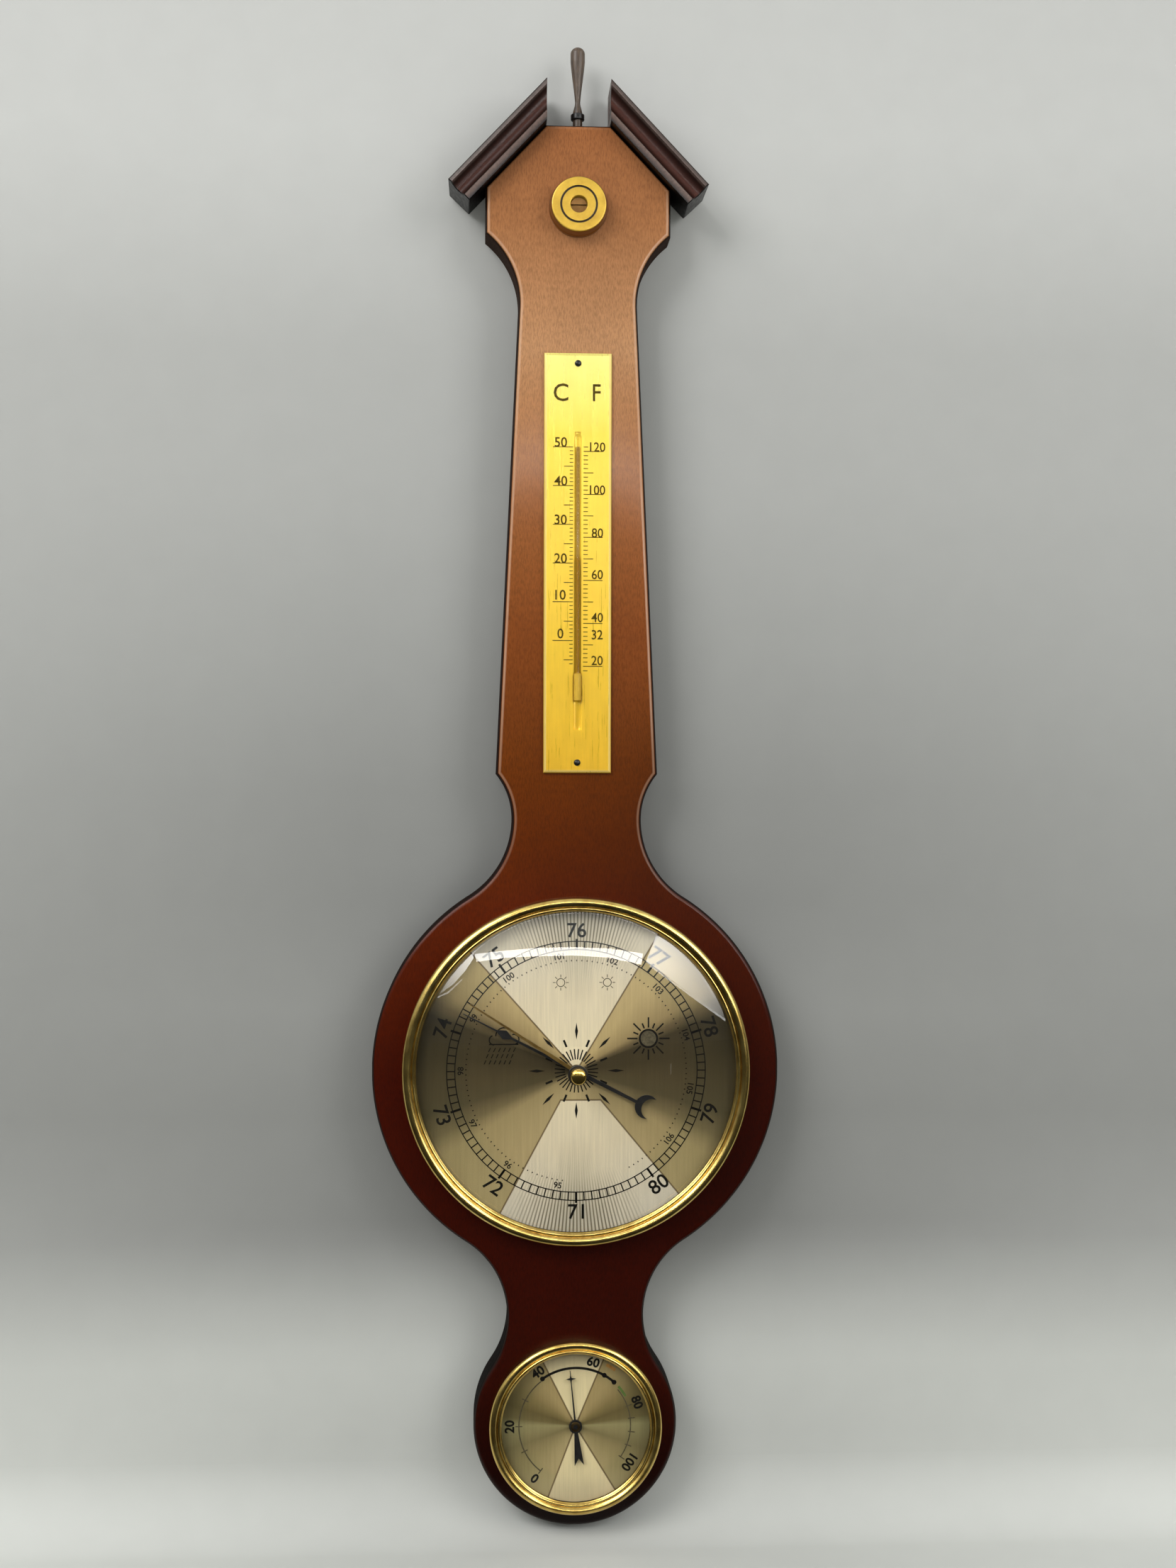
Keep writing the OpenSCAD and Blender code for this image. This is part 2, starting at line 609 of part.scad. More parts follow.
// The tube stands on its bulb: z runs up the tube from the top of the bulb
module at_tube() translate([0, -board_t - plate_t + groove_t - tube_r, -plate_drop - bulb_drop])
  children();
module thermometer_tube() color(clear) at_tube() difference() {
  rotate_extrude($fn = 48) polygon([[0, -bulb_len - tail_len], [tube_r * 0.6, -bulb_len - tail_len],
    [tube_r, -bulb_len - tail_len + 1], [tube_r, -bulb_len - 0.8], [bulb_r, -bulb_len],
    [bulb_r, -0.8], [tube_r, 0.4], [tube_r, tube_len - 1], [tube_r * 0.6, tube_len], [0, tube_len]]);
  cylinder(r = bore_r, h = tube_len - 2, $fn = 36);
  translate([0, 0, 0.3 - bulb_len]) cylinder(r = bulb_r - 0.55, h = bulb_len, $fn = 36);
}
module thermometer_liquid() color([0.35, 0.28, 0.22]) at_tube() {
  cylinder(r = bore_r - seat_gap, h = column_len, $fn = 36);
  translate([0, 0, 0.35 - bulb_len]) cylinder(r = bulb_r - 0.55 - seat_gap, h = bulb_len - 0.1, $fn = 36);
}

// Barometer housing
module barometer_case() color(silver) at_main() difference() {
  union() {
    disc(case_r, case_back_z, flange_z);
    disc(flange_r, front_z, flange_z);
  }
  disc(case_r - case_wall, bed_z, flange_z + 1);
  for (a = case_screw_turns) ray(a) translate([0, case_screw_r, front_z - 1])
    cylinder(r = case_screw_d / 2 + seat_gap, h = 4, $fn = 24);
  for (p = bed_screw_spots) hole(p, bed_screw_r);
  hole(adjust_spot, adjuster_r + 2);
  // holes that let the air in
  for (a = [0 : 60 : 300]) ray(a) hole([0, case_r / 6], 1);
}
// Headless screws that end flush with the flange, under the dial's rim
module case_screws() color(steel) at_main() for (a = case_screw_turns) ray(a)
  translate([0, case_screw_r, board_t - case_screw_len])
    cylinder(r = case_screw_d / 2, h = case_screw_len + case_wall, $fn = 24);

module barometer_bezel() color(brass) at_main() rotate_extrude($fn = 180) difference() {
  union() {
    translate([flange_r + 0.15, front_z]) square([bezel_r - flange_r - 0.15, rim_top - front_z + 0.3]);
    translate([bezel_r - bead_r, front_z + bezel_h - bead_r]) circle(bead_r, $fn = 48);
    translate([opening_r + lip_r, front_z + bezel_h - 1.1 - lip_r]) circle(lip_r, $fn = 32);
    translate([opening_r + lip_r, rim_top + 0.05])
      square([bezel_r - bead_r - opening_r - lip_r, front_z + bezel_h - 1.2 - rim_top]);
  }
  translate([0, front_z - 2]) square([flange_r + 0.15, rim_top + 0.05 - front_z + 2]);
}
bead_r = 2.1;
lip_r = 0.8;
module barometer_seat_ring() color([0.4, 0.33, 0.18]) at_main() rotate_extrude($fn = 120)
  polygon([[flange_r - 0.4, dial_top], [flange_r - 0.4, rim_z], [opening_r, rim_z],
    [opening_r, rim_z - 0.4], [opening_r + 0.9, dial_top]]);
// Domed glass with a flat rim from foot_r out to r
module glass_profile(r, foot_r, top_r, center_z, t, z0, z1) {
  intersection() {
    difference() {
      translate([0, center_z]) circle(top_r, $fn = 720);
      translate([0, center_z]) circle(top_r - t, $fn = 720);
    }
    translate([0, z0 - air]) square([foot_r + cut, center_z + top_r]);
  }
  translate([foot_r, z0]) square([r - foot_r, z1 - z0]);
}
module barometer_glass() color(clear) at_main() difference() {
  rotate_extrude($fn = 120)
    glass_profile(glass_r, dome_foot_r, dome_r, dome_z, glass_t, rim_z, rim_top);
  disc(bush_r + seat_gap, dial_top, dome_top + glass_t);
}
module barometer_dial() color(silver) at_main() ring(2.5, opening_r + dial_lap, flange_z, dial_top);

// Movement
module bed_plate() color(brass) at_main() difference() {
  disc(bed_r, bed_z, bed_top);
  disc(pivot_r + run_gap, 0, 5);
  hole(pivot, 1);
  for (p = pillar_spots) hole(p, tenon_r);
  for (p = bed_screw_spots) hole(p, bed_screw_r);
  hole(bar_screw_spot, bed_screw_r);
  hole(adjust_spot, adjuster_r + run_gap - seat_gap);
  for (p = bracket_screw_spots) hole(p, post_screw_r);
}
pivot_r = 0.5;
module bed_screws() color(steel) at_main() for (p = bed_screw_spots)
  translate([p[0], p[1], bed_top]) screw(2, 1.2, bed_screw_r, bed_t + case_wall - 0.1);

bar_w = 10;
bar_end = 4;
module capsule_spring_bar() color(steel) at_main() difference() {
  plate(bed_top, bed_top + bar_t) translate([capsule[0] - bar_w / 2, bar_screw_spot[1] - bar_end])
    square([bar_w, adjust_spot[1] - bar_screw_spot[1] + 2 * bar_end]);
  hole(bar_screw_spot, bed_screw_r);
  hole(capsule, tenon_r);
}
module bar_screw() color(steel) at_main()
  translate([bar_screw_spot[0], bar_screw_spot[1], bed_top + bar_t])
    screw(2, 1.2, bed_screw_r, bed_t + bar_t - 0.2);
module capsule_drum() color(brass) at_main() translate([capsule[0], capsule[1], drum_z]) {
  difference() {
    cylinder(r = capsule_r, h = capsule_h);
    translate([0, 0, 0.5]) cylinder(r = capsule_r - 0.5, h = capsule_h);
  }
  translate([0, 0, -bar_t]) cylinder(r = tenon_r, h = bar_t + 0.2, $fn = 36);
}
diaphragm_z = drum_z + capsule_h - 1.3;
module capsule_diaphragm() color([0.78, 0.66, 0.4]) at_main()
  translate([capsule[0], capsule[1], diaphragm_z]) difference() {
    union() {
      cylinder(r = capsule_r - 0.5 - air, h = 0.5);
      for (k = [1 : 4]) rotate_extrude() translate([k * capsule_r / 5.2, 0.4]) circle(0.55, $fn = 24);
    }
    translate([0, 0, -3]) cylinder(r = capsule_r, h = 3);
    translate([0, 0, -1]) cylinder(r = 1 + seat_gap, h = 3, $fn = 36);
  }
post_top = shaft_z - 0.5 - 0.1;
module capsule_post() color(steel) at_main() translate([capsule[0], capsule[1], 0]) {
  translate([0, 0, diaphragm_z]) cylinder(r = 1, h = 0.5, $fn = 36);
  translate([0, 0, diaphragm_z + 0.5]) cylinder(r = 1.8, h = 0.6, $fn = 36);
  translate([0, 0, diaphragm_z + 1]) cylinder(r = 0.7, h = post_top - diaphragm_z - 1.5, $fn = 36);
  translate([0, 0, post_top - 0.5]) cylinder(r1 = 0.7, r2 = 0.2, h = 0.5, $fn = 36);
}
module adjusting_screw() color(steel) at_main() translate([adjust_spot[0], adjust_spot[1], 0])
  difference() {
    union() {
      translate([0, 0, 0.1]) cylinder(r = 2.6, h = bed_z - 0.2, $fn = 48);
      translate([0, 0, 0.5]) cylinder(r = adjuster_r, h = bed_top - 0.55, $fn = 36);
    }
    translate([-4, -0.4, -1]) cube([8, 0.8, 1.6]);
  }

// Rocking shaft with a short arm over the capsule's post and a fork at the other end
module rocking_shaft() color(steel) at_main() {
  translate([bracket_x[0] + bracket_t + 0.2, shaft_y, shaft_z]) rotate([0, 90, 0])
    cylinder(r = shaft_r, h = bracket_x[1] - bracket_x[0] - bracket_t - 0.4, $fn = 36);
  translate([bracket_x[0] - 0.3, shaft_y, shaft_z]) rotate([0, 90, 0])
    cylinder(r = journal_r, h = bracket_x[1] - bracket_x[0] + bracket_t + 0.6, $fn = 36);
  translate([capsule[0] - 1.5, shaft_y - short_arm - 1.2, shaft_z - 0.5])
    cube([3, short_arm + 1.2, 1]);
  difference() {
    translate([pivot[0] + tail_r - 0.5, shaft_y - 1.9, contact_z - contact_h])
      cube([1, 3.8, fork_r + contact_h]);
    translate([pivot[0] + tail_r - 1, shaft_y - pin_r - pin_play, contact_z - 2 * contact_h])
      cube([2, 2 * (pin_r + pin_play), 4 * contact_h]);
  }
}
journal_r = 0.8;
pin_play = 0.2;
bracket_w = 7;
bracket_foot_w = 14;
bracket_over = 1.9;
bracket_screw_gap = 5;
bracket_screw_in = 0.8;
bracket_screw_spots = [
  for (x = bracket_x, s = [-1, 1])
    [x + (x < 0 ? bracket_t + bracket_screw_in : -bracket_screw_in), shaft_y + s * bracket_screw_gap]];
module shaft_brackets() color(brass) at_main() for (x = bracket_x) difference() {
  union() {
    translate([x, shaft_y - bracket_w / 2, bed_top])
      cube([bracket_t, bracket_w, shaft_z + bracket_over - bed_top]);
    translate([x < 0 ? x : x - bracket_t - 0.4, shaft_y - bracket_foot_w / 2, bed_top])
      cube([2 * bracket_t + 0.4, bracket_foot_w, bracket_foot_t]);
  }
  translate([x - 1, shaft_y, shaft_z]) rotate([0, 90, 0])
    cylinder(r = journal_r + run_gap, h = 4, $fn = 36);
  for (p = bracket_screw_spots) hole(p, post_screw_r);
}
module bracket_screws() color(steel) at_main() for (p = bracket_screw_spots)
  translate([p[0], p[1], bed_top + bracket_foot_t])
    screw(1.3, 0.8, post_screw_r, bed_t + bracket_foot_t - 0.1, 0.4);

// Sector: its middle tooth points at the pinion in the rest pose
sector_hub_r = 2.6;
module at_sector() at_main() translate([pivot[0], pivot[1], 0]) children();
module sector_gear() color(brass) at_sector() difference() {
  union() {
    plate(sector_z, sector_z + sector_t) rotate([0, 0, 180 + sector_dir]) sector_blank();
    plate(sector_z, sector_z + sector_t) {
      translate([0, -1.3]) square([tail_r, 2.6]);
      translate([tail_r, 0]) circle(1.3, $fn = 36);
    }
    disc(sector_hub_r, bed_top + 0.1, sector_z + sector_t + 1);
    translate([tail_r, 0, sector_z]) cylinder(r = pin_r, h = pin_top - sector_z, $fn = 36);
  }
  disc(shoulder_r + run_gap, bed_top, bridge_z);
}
shoulder_r = 1.25;
fan_from = -sector_rise - 3;
fan_to = sector_fall + 3;
module sector_blank() {
  step = 360 / sector_teeth;
  root_r = sector_r - 1.2 * gear_m;
  intersection() {
    difference() {
      circle(root_r, $fn = 180);
      difference() {
        circle(root_r - 3, $fn = 120);
        circle(sector_hub_r + 1);
        for (a = [fan_from + 3, fan_to - 3]) rotate([0, 0, a]) translate([0, -1]) square([sector_r, 2]);
      }
    }
    wedge(sector_r, fan_from - 1, fan_to + 1);
  }
  for (k = [ceil(fan_from / step) : floor(fan_to / step)]) rotate([0, 0, k * step])
    tooth(sector_teeth, 0.75 * gear_m, 1.2 * gear_m, 0.12);
}
module sector_screw() color(steel) at_sector() {
  disc(1, bed_top - 1.3, bed_top + cut);
  difference() {
    union() {
      disc(shoulder_r, bed_top, sector_z + sector_t + 1.2);
      disc(2.3, sector_z + sector_t + 1.15, sector_z + sector_t + 2.1);
    }
    translate([-3, -0.25, sector_z + sector_t + 1.6]) cube([6, 0.5, 2]);
  }
}
arbor_r = 0.75;
module pinion_arbor() color(steel) at_main() {
  disc(pivot_r, bed_z + 0.1, bed_top + 0.2);
  disc(1, bed_top + 0.15, bridge_z - 0.1);
  disc(arbor_r, bridge_z - 0.2, hand_z + hand_t + 0.7);
  disc(hair_r - hair_t / 2 - 0.1, hair_z - 0.2, hair_z + 1);
  plate(sector_z - 0.3, sector_z + sector_t + 0.3) rotate([0, 0, sector_dir + 180 / pinion_teeth]) {
    circle(pinion_r - 1.2 * gear_m);
    for (k = [0 : pinion_teeth - 1]) rotate([0, 0, k * 360 / pinion_teeth])
      tooth(pinion_teeth, 0.75 * gear_m, 1.2 * gear_m, 0.12);
  }
}
module movement_bridge() color(brass) at_main() difference() {
  plate(bridge_z, bridge_z + bridge_t) {
    circle(5);
    for (p = pillar_spots) {
      translate(p) circle(pillar_r + 1.5);
      polygon([[3, 3], [-3, 3], p - [3, 0], p + [3, 0]]);
    }
    translate(stud_spot) circle(1.6);
    polygon([[0, -2.4], stud_spot - [0, 1.5], stud_spot + [0, 1.5], [0, 2.4]]);
  }
  disc(arbor_r + run_gap, hair_z, dial_top);
  for (p = pillar_spots) translate(p) disc(screw_r + seat_gap, hair_z, dial_top);
  translate(stud_spot) disc(stud_r + seat_gap, hair_z, dial_top);
}
module bridge_pillars() color(brass) at_main() for (p = pillar_spots) translate([p[0], p[1], 0])
  difference() {
    union() {
      disc(pillar_r, bed_top, bridge_z);
      disc(tenon_r, bed_top - bed_t + 0.2, bed_top + cut);
    }
    translate([0, 0, bridge_z - 6]) cylinder(r = screw_r + seat_gap, h = 7, $fn = 36);
  }
module bridge_screws() color(steel) at_main() for (p = pillar_spots)
  translate([p[0], p[1], bridge_z + bridge_t]) screw(2.3, 1.1, screw_r, bridge_t + 5.5);

// Hairspring: inner end at the arbor, outer end at the stud under the bridge
hair_r = 2;
hair_t = 0.2;
hair_z = bridge_z - 2.4;
stud_r = 0.6;
stud_spot = [hair_r + hair_pitch * hair_turns + 0.4, 0];
module hairspring() color([0.3, 0.35, 0.5]) at_main() {
  plate(hair_z, hair_z + 0.8) spiral(hair_r, hair_pitch, hair_turns, hair_t);
  translate([stud_spot[0], stud_spot[1], hair_z - 0.1])
    cylinder(r = stud_r, h = bridge_z + bridge_t - hair_z);
}

// Hands
module diamond(r, w, l) polygon([[0, r - l], [w, r], [0, r + l], [-w, r]]);
module indicator_hand() color(black) at_main() difference() {
  union() {
    ray(hand_angle) plate(hand_z, hand_z + hand_t) {
      polygon([[-0.75, 0], [0.75, 0], [0.18, hand_len], [-0.18, hand_len]]);
      diamond(hand_len * 0.635, 1.9, 4.2);
      polygon([[0.9, 0], [-0.9, 0], [-0.6, -hand_len * 0.56], [0.6, -hand_len * 0.56]]);
      translate([0, -hand_len * 0.62]) difference() {
        circle(4.8);
        translate([0, -2.3]) circle(4.2);
      }
    }
    disc(2.3, hand_z - 0.5, hand_z + hand_t + 0.4);
  }
  disc(arbor_r + seat_gap, dial_top, set_z + glass_t);
}
bush_r = 3;
knob_shaft_r = 1.25;
set_tail = 2;
module set_hand() color(brass) at_main() difference() {
  union() {
    ray(set_angle) plate(set_z + 0.4, set_z + 0.8)
      polygon([[-0.8, -set_tail], [0.8, -set_tail], [0.3, set_len], [-0.3, set_len]]);
    disc(2.4, set_z, set_z + 1.4);
  }
  disc(knob_shaft_r + seat_gap, dial_top, dome_top);
}
knob_z = dome_top + 1;
module set_knob() color(brass) at_main() {
  disc(knob_shaft_r, set_z - 0.1, knob_z + 0.1);
  difference() {
    disc(knob_r, knob_z, knob_z + knob_h);
    for (a = [0 : 15 : 345]) rotate([0, 0, a]) translate([knob_r + 0.12, 0, knob_z + 0.8])
      cylinder(r = 0.3, h = knob_h - 1.6, $fn = 24);
  }
}
module glass_bush() color(brass) at_main() difference() {
  union() {
    disc(bush_r, dome_top - glass_t - 0.3, dome_top + 0.1);
    disc(bush_r + 1, dome_top + 0.02, dome_top + 0.6);
    disc(bush_r + 0.8, dome_top - glass_t - 0.7, dome_top - glass_t - 0.08);
  }
  disc(knob_shaft_r + run_gap, dial_top, dome_top + glass_t);
}

// Hygrometer
air_hole_in = 9;
module hygrometer_case() color(silver) at_low() difference() {
  union() {
    disc(small_case_r, small_back_z, small_flange_z);
    disc(small_flange_r, front_z, small_flange_z);
  }
  difference() {
    disc(small_case_r - small_wall, small_back_z + small_wall, small_flange_z + 1);
    disc(boss_r, small_back_z, small_back_z + small_wall + 1.6);
    for (s = [-1, 1]) translate([s * bridge_foot, 0, small_back_z])
      cylinder(r = boss_r, h = small_bridge_z - small_back_z, $fn = 36);
  }
  disc(small_pivot_r + run_gap, small_back_z + small_wall - 0.1, small_bridge_z);
  for (s = [-1, 1]) translate([s * bridge_foot, 0])
    disc(post_screw_r + seat_gap, small_bridge_z - 4, small_bridge_z + 1);
  translate(coil_post_spot) disc(coil_post_r + seat_gap, 0, coil_z);
  for (a = small_screw_turns) ray(a) translate([0, small_screw_r, front_z - 1])
    cylinder(r = small_screw_d / 2 + seat_gap, h = 4, $fn = 24);
  // holes that let the air in
  for (a = [30 : 60 : 330]) ray(a) translate([0, small_case_r - air_hole_in, 0]) cylinder(r = 2, h = 5, $fn = 24);
}
small_pivot_r = 0.5;
boss_r = 2.2;
bridge_foot = small_case_r - 5.7;
small_bridge_z = small_flange_z - 3.4;
module hygrometer_screws() color(steel) at_low() for (a = small_screw_turns) ray(a)
  translate([0, small_screw_r, board_t - small_screw_len])
    cylinder(r = small_screw_d / 2, h = small_screw_len + small_flange_z - front_z, $fn = 24);
module hygrometer_bezel() color(brass) at_low() rotate_extrude($fn = 144) difference() {
  union() {
    translate([small_flange_r + 0.12, front_z])
      square([small_bezel_r - small_flange_r - 0.12, small_rim_top - front_z + 0.2]);
    translate([small_bezel_r - 1.6, front_z + small_bezel_h - 1.6]) circle(1.6, $fn = 40);
    translate([small_opening_r + 0.7, front_z + small_bezel_h - 1.5]) circle(0.7, $fn = 32);
    translate([small_opening_r + 0.7, small_rim_top + 0.05])
      square([small_bezel_r - small_opening_r - 2.3, front_z + small_bezel_h - 1 - small_rim_top]);
  }
  translate([0, front_z - 2]) square([small_flange_r + 0.12, small_rim_top + 0.05 - front_z + 2]);
}
module hygrometer_seat_ring() color([0.4, 0.33, 0.18]) at_low() rotate_extrude($fn = 96)
  polygon([[small_flange_r - 0.3, small_dial_top], [small_flange_r - 0.3, small_rim_z],
    [small_opening_r, small_rim_z], [small_opening_r, small_rim_z - 0.4],
    [small_opening_r + 0.8, small_dial_top]]);
module hygrometer_glass() color(clear) at_low() rotate_extrude($fn = 96)
  glass_profile(small_glass_r, small_dome_foot_r, small_dome_r, small_dome_z, small_glass_t,
    small_rim_z, small_rim_top);
module hygrometer_dial() color(silver) at_low()
  ring(1.6, small_opening_r + 1.7, small_flange_z, small_dial_top);
small_bridge_w = 5;
small_bridge_hub_r = 4.5;
module hygrometer_bridge() color(brass) at_low() difference() {
  plate(small_bridge_z, small_bridge_z + 1) {
    translate([-bridge_foot, -small_bridge_w / 2]) square([2 * bridge_foot, small_bridge_w]);
    circle(small_bridge_hub_r, $fn = 48);
    for (s = [-1, 1]) translate([s * bridge_foot, 0]) circle(small_bridge_w / 2, $fn = 36);
  }
  disc(small_arbor_r + run_gap, coil_z, small_dial_top);
  for (s = [-1, 1]) translate([s * bridge_foot, 0]) disc(post_screw_r + seat_gap, coil_z, small_dial_top);
}
small_arbor_r = 0.7;
module hygrometer_bridge_screws() color(steel) at_low() for (s = [-1, 1])
  translate([s * bridge_foot, 0, small_bridge_z + 1]) screw(1.7, 0.9, post_screw_r, 4.5, 0.4);
coil_end_r = coil_in_r + coil_pitch * coil_turns;
coil_post_r = 0.9;
coil_post_spot = [coil_end_r + coil_t / 2 + coil_post_r + 0.05, 0];
module coil_post() color(brass) at_low() translate([coil_post_spot[0], coil_post_spot[1], 0])
  disc(coil_post_r, small_back_z + 0.1, coil_z + coil_w + 0.4);
module humidity_coil() color([0.72, 0.6, 0.42]) at_low()
  plate(coil_z, coil_z + coil_w) spiral(coil_in_r, coil_pitch, coil_turns, coil_t);
module hygrometer_arbor() color(steel) at_low() {
  disc(small_pivot_r, small_back_z + small_wall + 0.1, small_back_z + small_wall + 1.8);
  disc(1, small_back_z + small_wall + 1.75, coil_z + 0.1);
  disc(coil_in_r - coil_t / 2 - 0.15, coil_z, coil_z + coil_w);
  disc(1, coil_z + coil_w - 0.1, small_bridge_z - 0.15);
  disc(small_arbor_r, small_bridge_z - 0.2, small_dial_top + 1.1);
}
module hygrometer_pointer() color(black) at_low() difference() {
  union() {
    ray(small_hand_angle) plate(small_dial_top + 0.8, small_dial_top + 1.1) {
      polygon([[-0.4, 0], [0.4, 0], [0.15, small_hand_len], [-0.15, small_hand_len]]);
      polygon([for (k = [0 : 7]) [0, small_hand_len * 0.85]
        + polar(k % 2 == 0 ? 2 : 0.55, k * 45)]);
      polygon([[0.5, 0], [-0.5, 0], [-1.9, -small_tail_len], [0, -small_tail_len * 0.82],
        [1.9, -small_tail_len]]);
    }
    disc(small_hub_r, small_dial_top + 0.4, small_dial_top + 1.6);
  }
  disc(small_arbor_r + seat_gap, 0, small_dial_top + 1.1 + seat_gap);
}

backboard();
pediment_left();
pediment_right();
pediment_dowels();
finial();
finial_ring();
rosette();
rosette_screw();
hanger_plate();
hanger_screws();
thermometer_plate();
thermometer_pins();
thermometer_tube();
thermometer_liquid();
barometer_case();
case_screws();
barometer_bezel();
barometer_seat_ring();
barometer_glass();
barometer_dial();
bed_plate();
bed_screws();
capsule_spring_bar();
bar_screw();
capsule_drum();
capsule_diaphragm();
capsule_post();
adjusting_screw();
rocking_shaft();
shaft_brackets();
bracket_screws();
sector_gear();
sector_screw();
pinion_arbor();
movement_bridge();
bridge_pillars();
bridge_screws();
hairspring();
indicator_hand();
set_hand();
set_knob();
glass_bush();
hygrometer_case();
hygrometer_screws();
hygrometer_bezel();
hygrometer_seat_ring();
hygrometer_glass();
hygrometer_dial();
hygrometer_bridge();
hygrometer_bridge_screws();
coil_post();
humidity_coil();
hygrometer_arbor();
hygrometer_pointer();
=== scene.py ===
"""Wall weather station: the dressed model of a shaped board with thermometer, barometer and hygrometer.

Surfaces are worked out in millimetres as (x, up, out): x to the right, up from the hanging hole,
out from the wall towards the viewer. They are stored in metres with out along -Y.
"""
import math

import bmesh
import bpy
import numpy as np
from mathutils import Matrix, Vector
from mathutils.geometry import tessellate_polygon


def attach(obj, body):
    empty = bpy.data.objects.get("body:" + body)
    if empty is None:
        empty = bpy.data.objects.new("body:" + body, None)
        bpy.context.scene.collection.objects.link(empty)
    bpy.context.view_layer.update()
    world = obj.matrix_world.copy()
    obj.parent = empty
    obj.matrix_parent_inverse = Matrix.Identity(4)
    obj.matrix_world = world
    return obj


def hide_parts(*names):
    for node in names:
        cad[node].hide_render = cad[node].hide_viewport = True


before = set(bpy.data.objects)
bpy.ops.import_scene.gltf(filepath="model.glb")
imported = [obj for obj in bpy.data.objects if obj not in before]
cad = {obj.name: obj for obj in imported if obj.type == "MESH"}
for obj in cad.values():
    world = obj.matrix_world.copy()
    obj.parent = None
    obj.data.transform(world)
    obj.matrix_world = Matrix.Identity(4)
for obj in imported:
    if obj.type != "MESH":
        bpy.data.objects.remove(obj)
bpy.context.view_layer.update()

# A millimetre in metres, and the same sizes as in the construction, in millimetres
MM = 0.001
BOARD_T = 16.0
EDGE_R = 2.1
HEAD_TOP = 21.4
ROOF_HALF = 13.2
HEAD_HALF = 37.7
HEAD_SIDE = 18.8
HEAD_CUT_R = 36.0
SHAFT_TOP_HALF = 24.1
SHAFT_FOOT = (32.8, -242.0)
NECK_HALF = 26.2
NECK_FOOT_R = 37.3
MAIN_R = 82.5
FACET = 0.06
LOW_R = 41.2
WAIST_R = 36.0
MAIN_UP = -362.0
LOW_UP = -505.6
MAIN = (0.0, MAIN_UP)
LOW = (0.0, LOW_UP)
BOARD_OPENING_R = 58.7
SMALL_BOARD_OPENING_R = 29.5
RECESS_HALF = (22.3, 11.3)
RECESS_DEPTH = 1.2
POCKET_R = 5.75
POCKET_RISE = 4.6
POCKET_FLOOR = 9.2
ROOF_ANGLE = math.radians(46.5)
ROOF_W = 11.4
ROOF_T = 22.0
ROOF_LEN = 45.2
COVE_R = 3.6
LIP_W = 1.7
OPENING_R = 64.6
BEZEL_R = 70.25
SMALL_OPENING_R = 29.9
SMALL_BEZEL_R = 34.9
DIAL_OUT = 17.6
RIM_OUT = 19.4
RIM_TOP = 21.4
DOME_H = 9.0
DOME_FOOT_R = 64.3
GLASS_RIM_R = 67.6
GLASS_HOLE_R = 3.02
GLASS_T = 2.0
SMALL_DIAL_OUT = 17.2
SMALL_RIM_OUT = 19.4
SMALL_RIM_TOP = 20.9
SMALL_DOME_H = 2.0
SMALL_DOME_FOOT_R = 29.6
SMALL_GLASS_RIM_R = 33.0
SMALL_GLASS_T = 1.5
PLATE_OUT = 17.5
PLATE_HALF = 13.75
PLATE_FOOT = -241.6
PIN_UPS = (-75.8, -237.4)
TUBE_OUT = 18.5
BULB_TOP = -201.6
ROSETTE_UP = -12.5
FINIAL_OUT = 8.0

# The fit of the camera to the photograph, in the photograph's pixels
FOCAL = 2680
PHOTO_CENTRE = (829.5, 1106)

# The heights in metres where the board's staining, with its painted light and shade, begins and ends
STAIN_AND_SHADING_FOOT, STAIN_AND_SHADING_HEAD = -0.547, 0.021


def stations(points):
    """Millimetre points (x, up, out) as metre points of the shared frame, (x, -out, up)."""
    points = np.asarray(points, float)
    return np.stack([points[..., 0], -points[..., 2], points[..., 1]], -1) * MM


def arc(centre, radius, start, end, count):
    """Points of a circle's arc from angle start to angle end, in degrees from +x towards up."""
    angle = np.radians(np.linspace(start, end, count))
    return np.stack([centre[0] + radius * np.cos(angle), centre[1] + radius * np.sin(angle)], -1)


def bearing(start, end):
    """Angle in degrees of the line from start to end."""
    return math.degrees(math.atan2(end[1] - start[1], end[0] - start[0]))


def inset(outline, distance):
    """A closed anticlockwise outline moved inwards: each point slides along the mitre of its two sides."""
    before = np.roll(outline, 1, 0) - outline
    after = np.roll(outline, -1, 0) - outline
    before /= np.linalg.norm(before, axis=1, keepdims=True)
    after /= np.linalg.norm(after, axis=1, keepdims=True)
    normal = np.stack([-after[:, 1], after[:, 0]], -1) + np.stack([before[:, 1], -before[:, 0]], -1)
    normal /= np.linalg.norm(normal, axis=1, keepdims=True)
    inward = np.stack([-after[:, 1], after[:, 0]], -1)
    stretch = np.maximum((normal * inward).sum(1, keepdims=True), 0.5)
    return outline + normal * distance / stretch


def softened(corners, radii, steps=6):
    """A closed outline with each corner p rounded by (1-t)^2 a + 2t(1-t) p + t^2 b, from a on the side
    before it to b on the side after it."""
    corners = np.asarray(corners, float)
    radii = np.broadcast_to(np.asarray(radii, float).reshape(-1, 1), (len(corners), 1))
    before = np.roll(corners, 1, 0) - corners
    after = np.roll(corners, -1, 0) - corners
    length = np.minimum(np.linalg.norm(before, axis=1), np.linalg.norm(after, axis=1))[:, None]
    reach = np.minimum(radii, 0.45 * length)
    a = corners + before / np.linalg.norm(before, axis=1, keepdims=True) * reach
    b = corners + after / np.linalg.norm(after, axis=1, keepdims=True) * reach
    t = np.linspace(0, 1, steps)[None, :, None]
    curve = (1 - t) ** 2 * a[:, None] + 2 * t * (1 - t) * corners[:, None] + t ** 2 * b[:, None]
    return curve.reshape(-1, 2)


